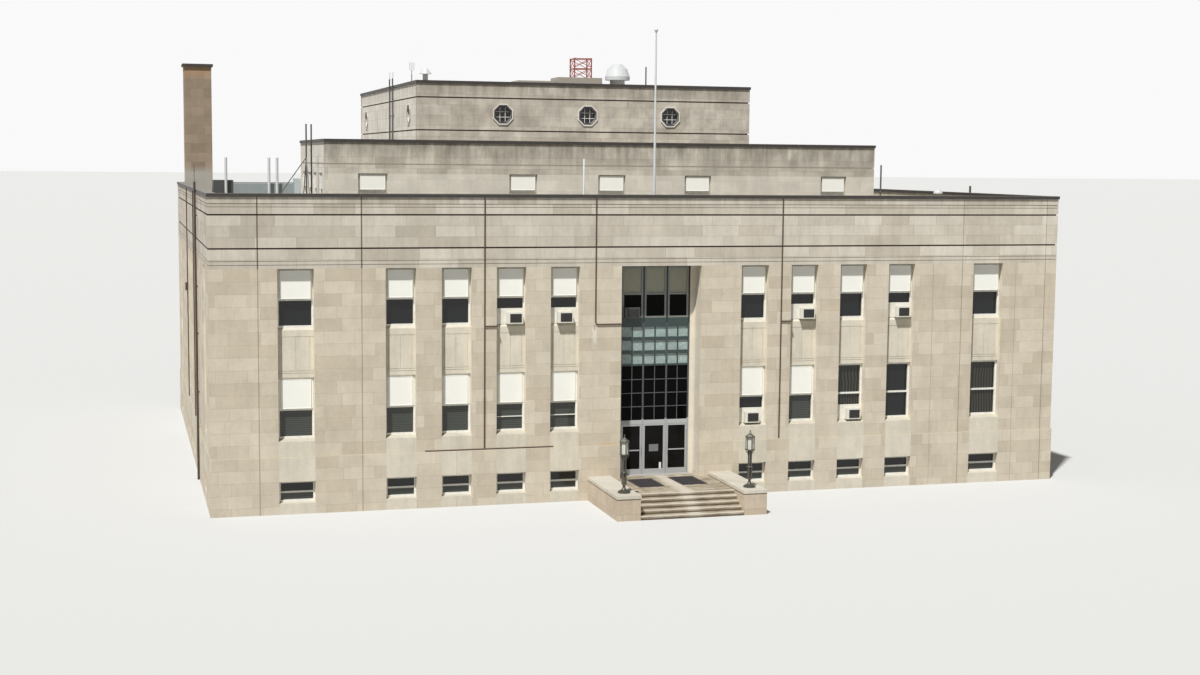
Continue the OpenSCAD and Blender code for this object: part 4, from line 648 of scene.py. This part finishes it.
for name, inner, outer, proud, material, slot in (
        ("octagon_flanges", oct_half - 0.005, oct_flange, 0.01, oct_paint, "white_paint"),
        ("octagon_borders", oct_flange, oct_border, 0.016, pale_side_stone, "upper_stone")):
    bpy.ops.object.select_all(action="DESELECT")
    bpy.ops.mesh.primitive_cylinder_add(vertices=8, radius=outer / math.cos(math.pi / 8), depth=proud,
                                        location=(0, -proud / 2 - 0.0005, oct_z),
                                        rotation=(math.pi / 2, math.pi / 8, 0))
    ring = bpy.context.object
    ring.name = name
    bpy.ops.object.transform_apply(location=True, rotation=True, scale=True)
    bpy.ops.object.mode_set(mode="EDIT")
    bpy.ops.mesh.select_all(action="DESELECT")
    bpy.ops.object.mode_set(mode="OBJECT")
    for side in ring.data.polygons:
        side.select = abs(side.normal.y) > 0.9
    bpy.ops.object.mode_set(mode="EDIT")
    bpy.ops.mesh.select_mode(type="FACE")
    bpy.ops.mesh.inset(thickness=outer - inner)
    bpy.ops.mesh.bridge_edge_loops()
    bpy.ops.object.mode_set(mode="OBJECT")
    ease(ring, 0.003)
    finish(repeat(ring, oct_places), material)

# Floors: slabs of cast concrete that bear on the outer walls, bare and cloudy grey. Little of them
# shows from outside.
concrete, place, _ = start("cast concrete")
cloud = add(concrete, "TexNoise", {"Vector": place, "Scale": 0.6, "Detail": 8.0, "Roughness": 0.65})
paint_on(concrete, add(concrete, "MixRGB", (cloud, linear("#7f7b74"), linear("#9a968e"))), 0.9)
dress(concrete, "basement_floor", "entrance_floor", "main_floor", "second_floor")

# Flat roofs: slabs covered with dark felt, and loose fine gravel laid on it. Patches are darker,
# where puddles stand.
gravel, place, _ = start("gravelled roofing felt")
pebbles = add(gravel, "TexNoise", {"Vector": place, "Scale": 40.0, "Detail": 4.0, "Roughness": 0.7})
puddle = add(gravel, "TexNoise", {"Vector": place, "Scale": 0.35, "Detail": 5.0})
pebbled = add(gravel, "MixRGB", (pebbles, linear("#66635e"), linear("#928e86")))
wetness = add(gravel, "MapRange", (puddle, 0.35, 0.65, 0.75, 1.05))
paint_on(gravel, add(gravel, "VectorMath", {0: pebbled, "Scale": wetness}, operation="SCALE"), 0.95)
dress(gravel, "roof_deck", "tier2_roof", "tier3_floor", "tier3_roof")

# Chimney: a shaft of limestone in level courses, brown with soot, on a pale grey foot and with an
# orange band under the cap. It stands on the main roof.
chimney_stone, place, split = start("sooty limestone")
along = add(chimney_stone, "Math", (split["X"], split["Y"]), operation="ADD")
flue_up = add(chimney_stone, "CombineXYZ", (along, split["Z"]))
courses = add(chimney_stone, "TexBrick",
              {"Vector": flue_up, "Color1": linear("#a5937f"), "Color2": linear("#8f7e6b"),
               "Mortar": linear("#85725d"), "Scale": 1.0, "Mortar Size": 0.005, "Brick Width": 0.72,
               "Row Height": 0.49}).node.outputs["Color"]
soot = add(chimney_stone, "TexNoise", {"Vector": place, "Scale": 2.2, "Detail": 7.0, "Roughness": 0.7})
soot_tone = add(chimney_stone, "MapRange", (soot, 0.3, 0.7, 0.86, 1.06))
sooty = add(chimney_stone, "VectorMath", {0: courses, "Scale": soot_tone}, operation="SCALE")
for from_z, to_z, strength, code in ((18.2, 18.35, 0.35, "#b5895c"), (13.5, 13.1, 0.75, "#b3b1a9")):
    band = add(chimney_stone, "MapRange", (split["Z"], from_z, to_z, 0.0, strength))
    sooty = add(chimney_stone, "MixRGB", (band, sooty, linear(code)))
paint_on(chimney_stone, sooty, 0.9)
dress(chimney_stone, "chimney")

# Flagpole and ventilators: steel under chalky white paint, the pole on the main roof and the
# ventilators on the third tier. The curbs under these are grey-brown.
pole_paint, place, split = start("white painted steel")
chip = add(pole_paint, "TexNoise", {"Vector": place, "Scale": 7.0, "Detail": 6.0})
chalked = add(pole_paint, "MixRGB", (chip, linear("#c3c6c6"), linear("#dee0df")))
curb_x, curb_reach, curb_z, curb_half = -0.44, 2.15, 17.6, 0.47
on_curb = add(pole_paint, "Math", (split["X"], curb_x, curb_reach), operation="COMPARE")
for part in (add(pole_paint, "Math", (split["Z"], curb_z, curb_half), operation="COMPARE"),
             add(pole_paint, "Math", (split["Y"], 0.0), operation="GREATER_THAN")):
    on_curb = add(pole_paint, "Math", (on_curb, part), operation="MULTIPLY")
pole_colour = add(pole_paint, "MixRGB", (on_curb, chalked, linear("#a39c90")))
paint_on(pole_paint, shade_upward_faces(pole_paint, pole_colour), 0.4)
dress(pole_paint, "flagpole", "roof_vents")

# Plant boxes on the roof: folded sheet steel that stands in the well behind the left parapet. The
# boxes are coated dark, grey and pale from left to right.
box_steel, place, split = start("coated sheet steel")
film = add(box_steel, "TexNoise", {"Vector": place, "Scale": 3.0, "Detail": 6.0, "Roughness": 0.7})
grey_coat = add(box_steel, "MixRGB", (film, linear("#868f8f"), linear("#9fa7a6")))
dark_end, pale_start = -16.67, -14.04
in_dark = add(box_steel, "Math", (split["X"], dark_end), operation="LESS_THAN")
in_pale = add(box_steel, "Math", (split["X"], pale_start), operation="GREATER_THAN")
coat = add(box_steel, "MixRGB", (in_dark, grey_coat, linear("#4a4b49")))
coat = add(box_steel, "MixRGB", (in_pale, coat, linear("#b9c4c4")))
paint_on(box_steel, coat, 0.5)
dress(box_steel, "roof_boxes")

# Masts and aerials: galvanised steel tube, weathered dark. The panel aerial and the short mast
# behind the front parapet are newer and painted white. The lattice mast is under red oxide paint.
mast_steel, place, split = start("galvanised steel tube")
spangle = add(mast_steel, "TexVoronoi", {"Vector": place, "Scale": 30.0})
old_zinc = add(mast_steel, "MixRGB", (spangle, linear("#43413f"), linear("#65625e")))
aerial_x, aerial_reach, aerial_foot = -8.12, 0.4, 17.95
short_x, short_reach, parapet_y = -3.05, 0.3, -11.0
aerial = add(mast_steel, "Math", (split["X"], aerial_x, aerial_reach), operation="COMPARE")
high_up = add(mast_steel, "Math", (split["Z"], aerial_foot), operation="GREATER_THAN")
aerial = add(mast_steel, "Math", (aerial, high_up), operation="MULTIPLY")
short = add(mast_steel, "Math", (split["X"], short_x, short_reach), operation="COMPARE")
near = add(mast_steel, "Math", (split["Y"], parapet_y), operation="LESS_THAN")
short = add(mast_steel, "Math", (short, near), operation="MULTIPLY")
newer = add(mast_steel, "Math", (aerial, short), operation="MAXIMUM")
paint_on(mast_steel, add(mast_steel, "MixRGB", (newer, old_zinc, linear("#f2f3f2"))), 0.5)
dress(mast_steel, "roof_poles")

red_paint, place, _ = start("red oxide paint on steel")
flake = add(red_paint, "TexNoise", {"Vector": place, "Scale": 12.0, "Detail": 6.0})
paint_on(red_paint, add(red_paint, "MixRGB", (flake, linear("#7d2622"), linear("#a34038"))), 0.55)
dress(red_paint, "lattice_mast")

# Downpipes: cast iron under dark brown paint that has worn in patches, one on each side wall,
# held off it by clips.
iron_paint, place, _ = start("brown paint on cast iron")
scab = add(iron_paint, "TexNoise", {"Vector": place, "Scale": 6.0, "Detail": 6.0, "Roughness": 0.7})
paint_on(iron_paint, add(iron_paint, "MixRGB", (scab, linear("#332b27"), linear("#5a4c42"))), 0.6)
dress(iron_paint, "downpipes")

# Air conditioners: off-white baked enamel casings and white filler boards, with a dark plastic
# grille of level louvres in each front. The one in the entrance screen is coloured dark grey, as
# painted shade for the shadow in the entrance.
cooler_paint, place, split = start("baked off-white enamel")
smudge = add(cooler_paint, "TexNoise", {"Vector": place, "Scale": 5.0, "Detail": 6.0})
baked = add(cooler_paint, "MixRGB", (smudge, linear("#efece1"), linear("#dad6c8")))
hall_cooler_x, hall_cooler_reach = -1.05, 0.42
# Painted shade: the cooler in the entrance screen is dark grey, for the shadow in the entrance.
shaded_in_screen = add(cooler_paint, "Math", (split["X"], hall_cooler_x, hall_cooler_reach), operation="COMPARE")
recessed = add(cooler_paint, "Math", (split["Y"], front_y + 0.5), operation="GREATER_THAN")
shaded_in_screen = add(cooler_paint, "Math", (shaded_in_screen, recessed), operation="MULTIPLY")
cooler_colour = add(cooler_paint, "MixRGB", (shaded_in_screen, baked, linear("#3f4142")))
paint_on(cooler_paint, shade_upward_faces(cooler_paint, cooler_colour), 0.45)
dress(cooler_paint, "air_conditioners")

grille_plastic, place, _ = start("dark moulded plastic")
fluff = add(grille_plastic, "TexNoise", {"Vector": place, "Scale": 25.0, "Detail": 5.0})
paint_on(grille_plastic, add(grille_plastic, "MixRGB", (fluff, linear("#292826"), linear("#4a4845"))), 0.6)
cooler_w, grille_w, grille_h, grille_edge, grille_up = 0.65, 0.48, 0.35, 0.05, 0.055
louvre_pitch, louvre_t, louvre_low, louvre_end, louvre_count = 0.026, 0.012, 0.022, 0.014, 12
backing = block("backing", (0, 0.004, 0), (grille_w, 0.012, grille_h))
sink_face(backing, (0, -1, 0), 0.012, 0.003)
louvres = [block("louvre", (louvre_end, -0.006, z), (grille_w - louvre_end, 0.006, z + louvre_t))
           for z in [louvre_low + k * louvre_pitch for k in range(louvre_count)]]
grille = merge("cooler_grilles", louvres + [backing])
upper_z0, lower_z0, cooler_face = 7.38, 3.0, front_y + 0.04
cooler_places = [(-main_bays[1] + 0.13 * bay_w, upper_z0), (-main_bays[0] + 0.02 * bay_w, upper_z0),
                 (main_bays[1] + 0.16 * bay_w, upper_z0), (main_bays[3] + 0.11 * bay_w, upper_z0),
                 (main_bays[0], lower_z0), (main_bays[2] + 0.135 * bay_w, lower_z0)]
hall_grille_y, hall_cooler_z, grille_proud = front_y + 0.638, 7.46, 0.012
from_middle = cooler_w / 2 - grille_edge - grille_w
grille_places = [(x + from_middle, cooler_face - grille_proud, z + grille_up, 0) for x, z in cooler_places]
grille_places.append((hall_cooler_x + from_middle, hall_grille_y, hall_cooler_z + grille_up, 0))
grille = repeat(grille, grille_places)
finish(grille, grille_plastic)

# Conduits: steel pipe under red-brown paint that rusts in patches, fixed down the front and the
# left wall, with a meter box on one.
conduit_paint, place, _ = start("red-brown paint on steel pipe")
rust = add(conduit_paint, "TexNoise", {"Vector": place, "Scale": 6.0, "Detail": 6.0})
paint_on(conduit_paint, add(conduit_paint, "MixRGB", (rust, linear("#3d2c25"), linear("#624939"))), 0.6)
dress(conduit_paint, "wall_conduits")

# Stage: a pale floor at ground level, a sun from the upper left and an even white world. The
# floor is pale to the camera and darker to the light that it throws back at the building.
bpy.ops.object.select_all(action="DESELECT")
bpy.ops.mesh.primitive_plane_add(size=3000, location=(0, 0, -0.001))
floor = bpy.context.object
floor.name = "floor"
floor_paint = bpy.data.materials.new("pale floor")
floor_paint.use_nodes = True
rays = add(floor_paint, "LightPath").node.outputs
seen = add(floor_paint, "Math", (rays["Is Camera Ray"], rays["Is Transmission Ray"]), operation="MAXIMUM")
seen = add(floor_paint, "Math", (seen, rays["Is Glossy Ray"]), operation="MAXIMUM")
floor_colour = add(floor_paint, "MixRGB", (seen, linear("#8a8a88"), linear("#b4b4b2")))
paint_on(floor_paint, floor_colour, 0.95)
floor.data.materials.append(floor_paint)

bpy.ops.object.light_add(type="SUN", location=(-30, -60, 60))
sun = bpy.context.object
sun.data.energy = 5.3
sun.data.angle = math.radians(2)
sun.rotation_euler = (math.radians(26.4), 0, math.radians(-39.4))

world = bpy.data.worlds.new("even white")
bpy.context.scene.world = world
world.use_nodes = True
sky = world.node_tree.nodes["Background"]
rays = add(world, "LightPath").node.outputs
seen = add(world, "Math", (rays["Is Camera Ray"], rays["Is Transmission Ray"]), operation="MAXIMUM")
seen = add(world, "Math", (seen, rays["Is Glossy Ray"]), operation="MAXIMUM")
level = add(world, "MapRange", {"Value": seen, "To Min": 0.22, "To Max": 0.95})
world.node_tree.links.new(level, sky.inputs["Strength"])
sky.inputs["Color"].default_value = (1, 1, 1, 1)

# Camera: at the angle of the photograph, from the left and level with the upper tiers. Its place,
# turn and focal length are fitted to the lines of the building.
lens_px, picture_px, sensor = 1708.19, 1200, 36.0
yaw, pitch, roll = 0.2777967, -0.1032366, 0.0094272
camera_place = (-21.756, front_y - 67.039, 13.982)
camera_data = bpy.data.cameras.new("camera")
camera_data.sensor_width = sensor
camera_data.lens = sensor * lens_px / picture_px
camera_data.clip_end = 5000
camera = bpy.data.objects.new("camera", camera_data)
bpy.context.scene.collection.objects.link(camera)
camera.matrix_world = (Matrix.Translation(camera_place) @ Matrix.Rotation(-yaw, 4, "Z")
                       @ Matrix.Rotation(math.pi / 2 + pitch, 4, "X") @ Matrix.Rotation(roll, 4, "Z"))
bpy.context.scene.camera = camera
bpy.context.scene.view_settings.view_transform = "Standard"
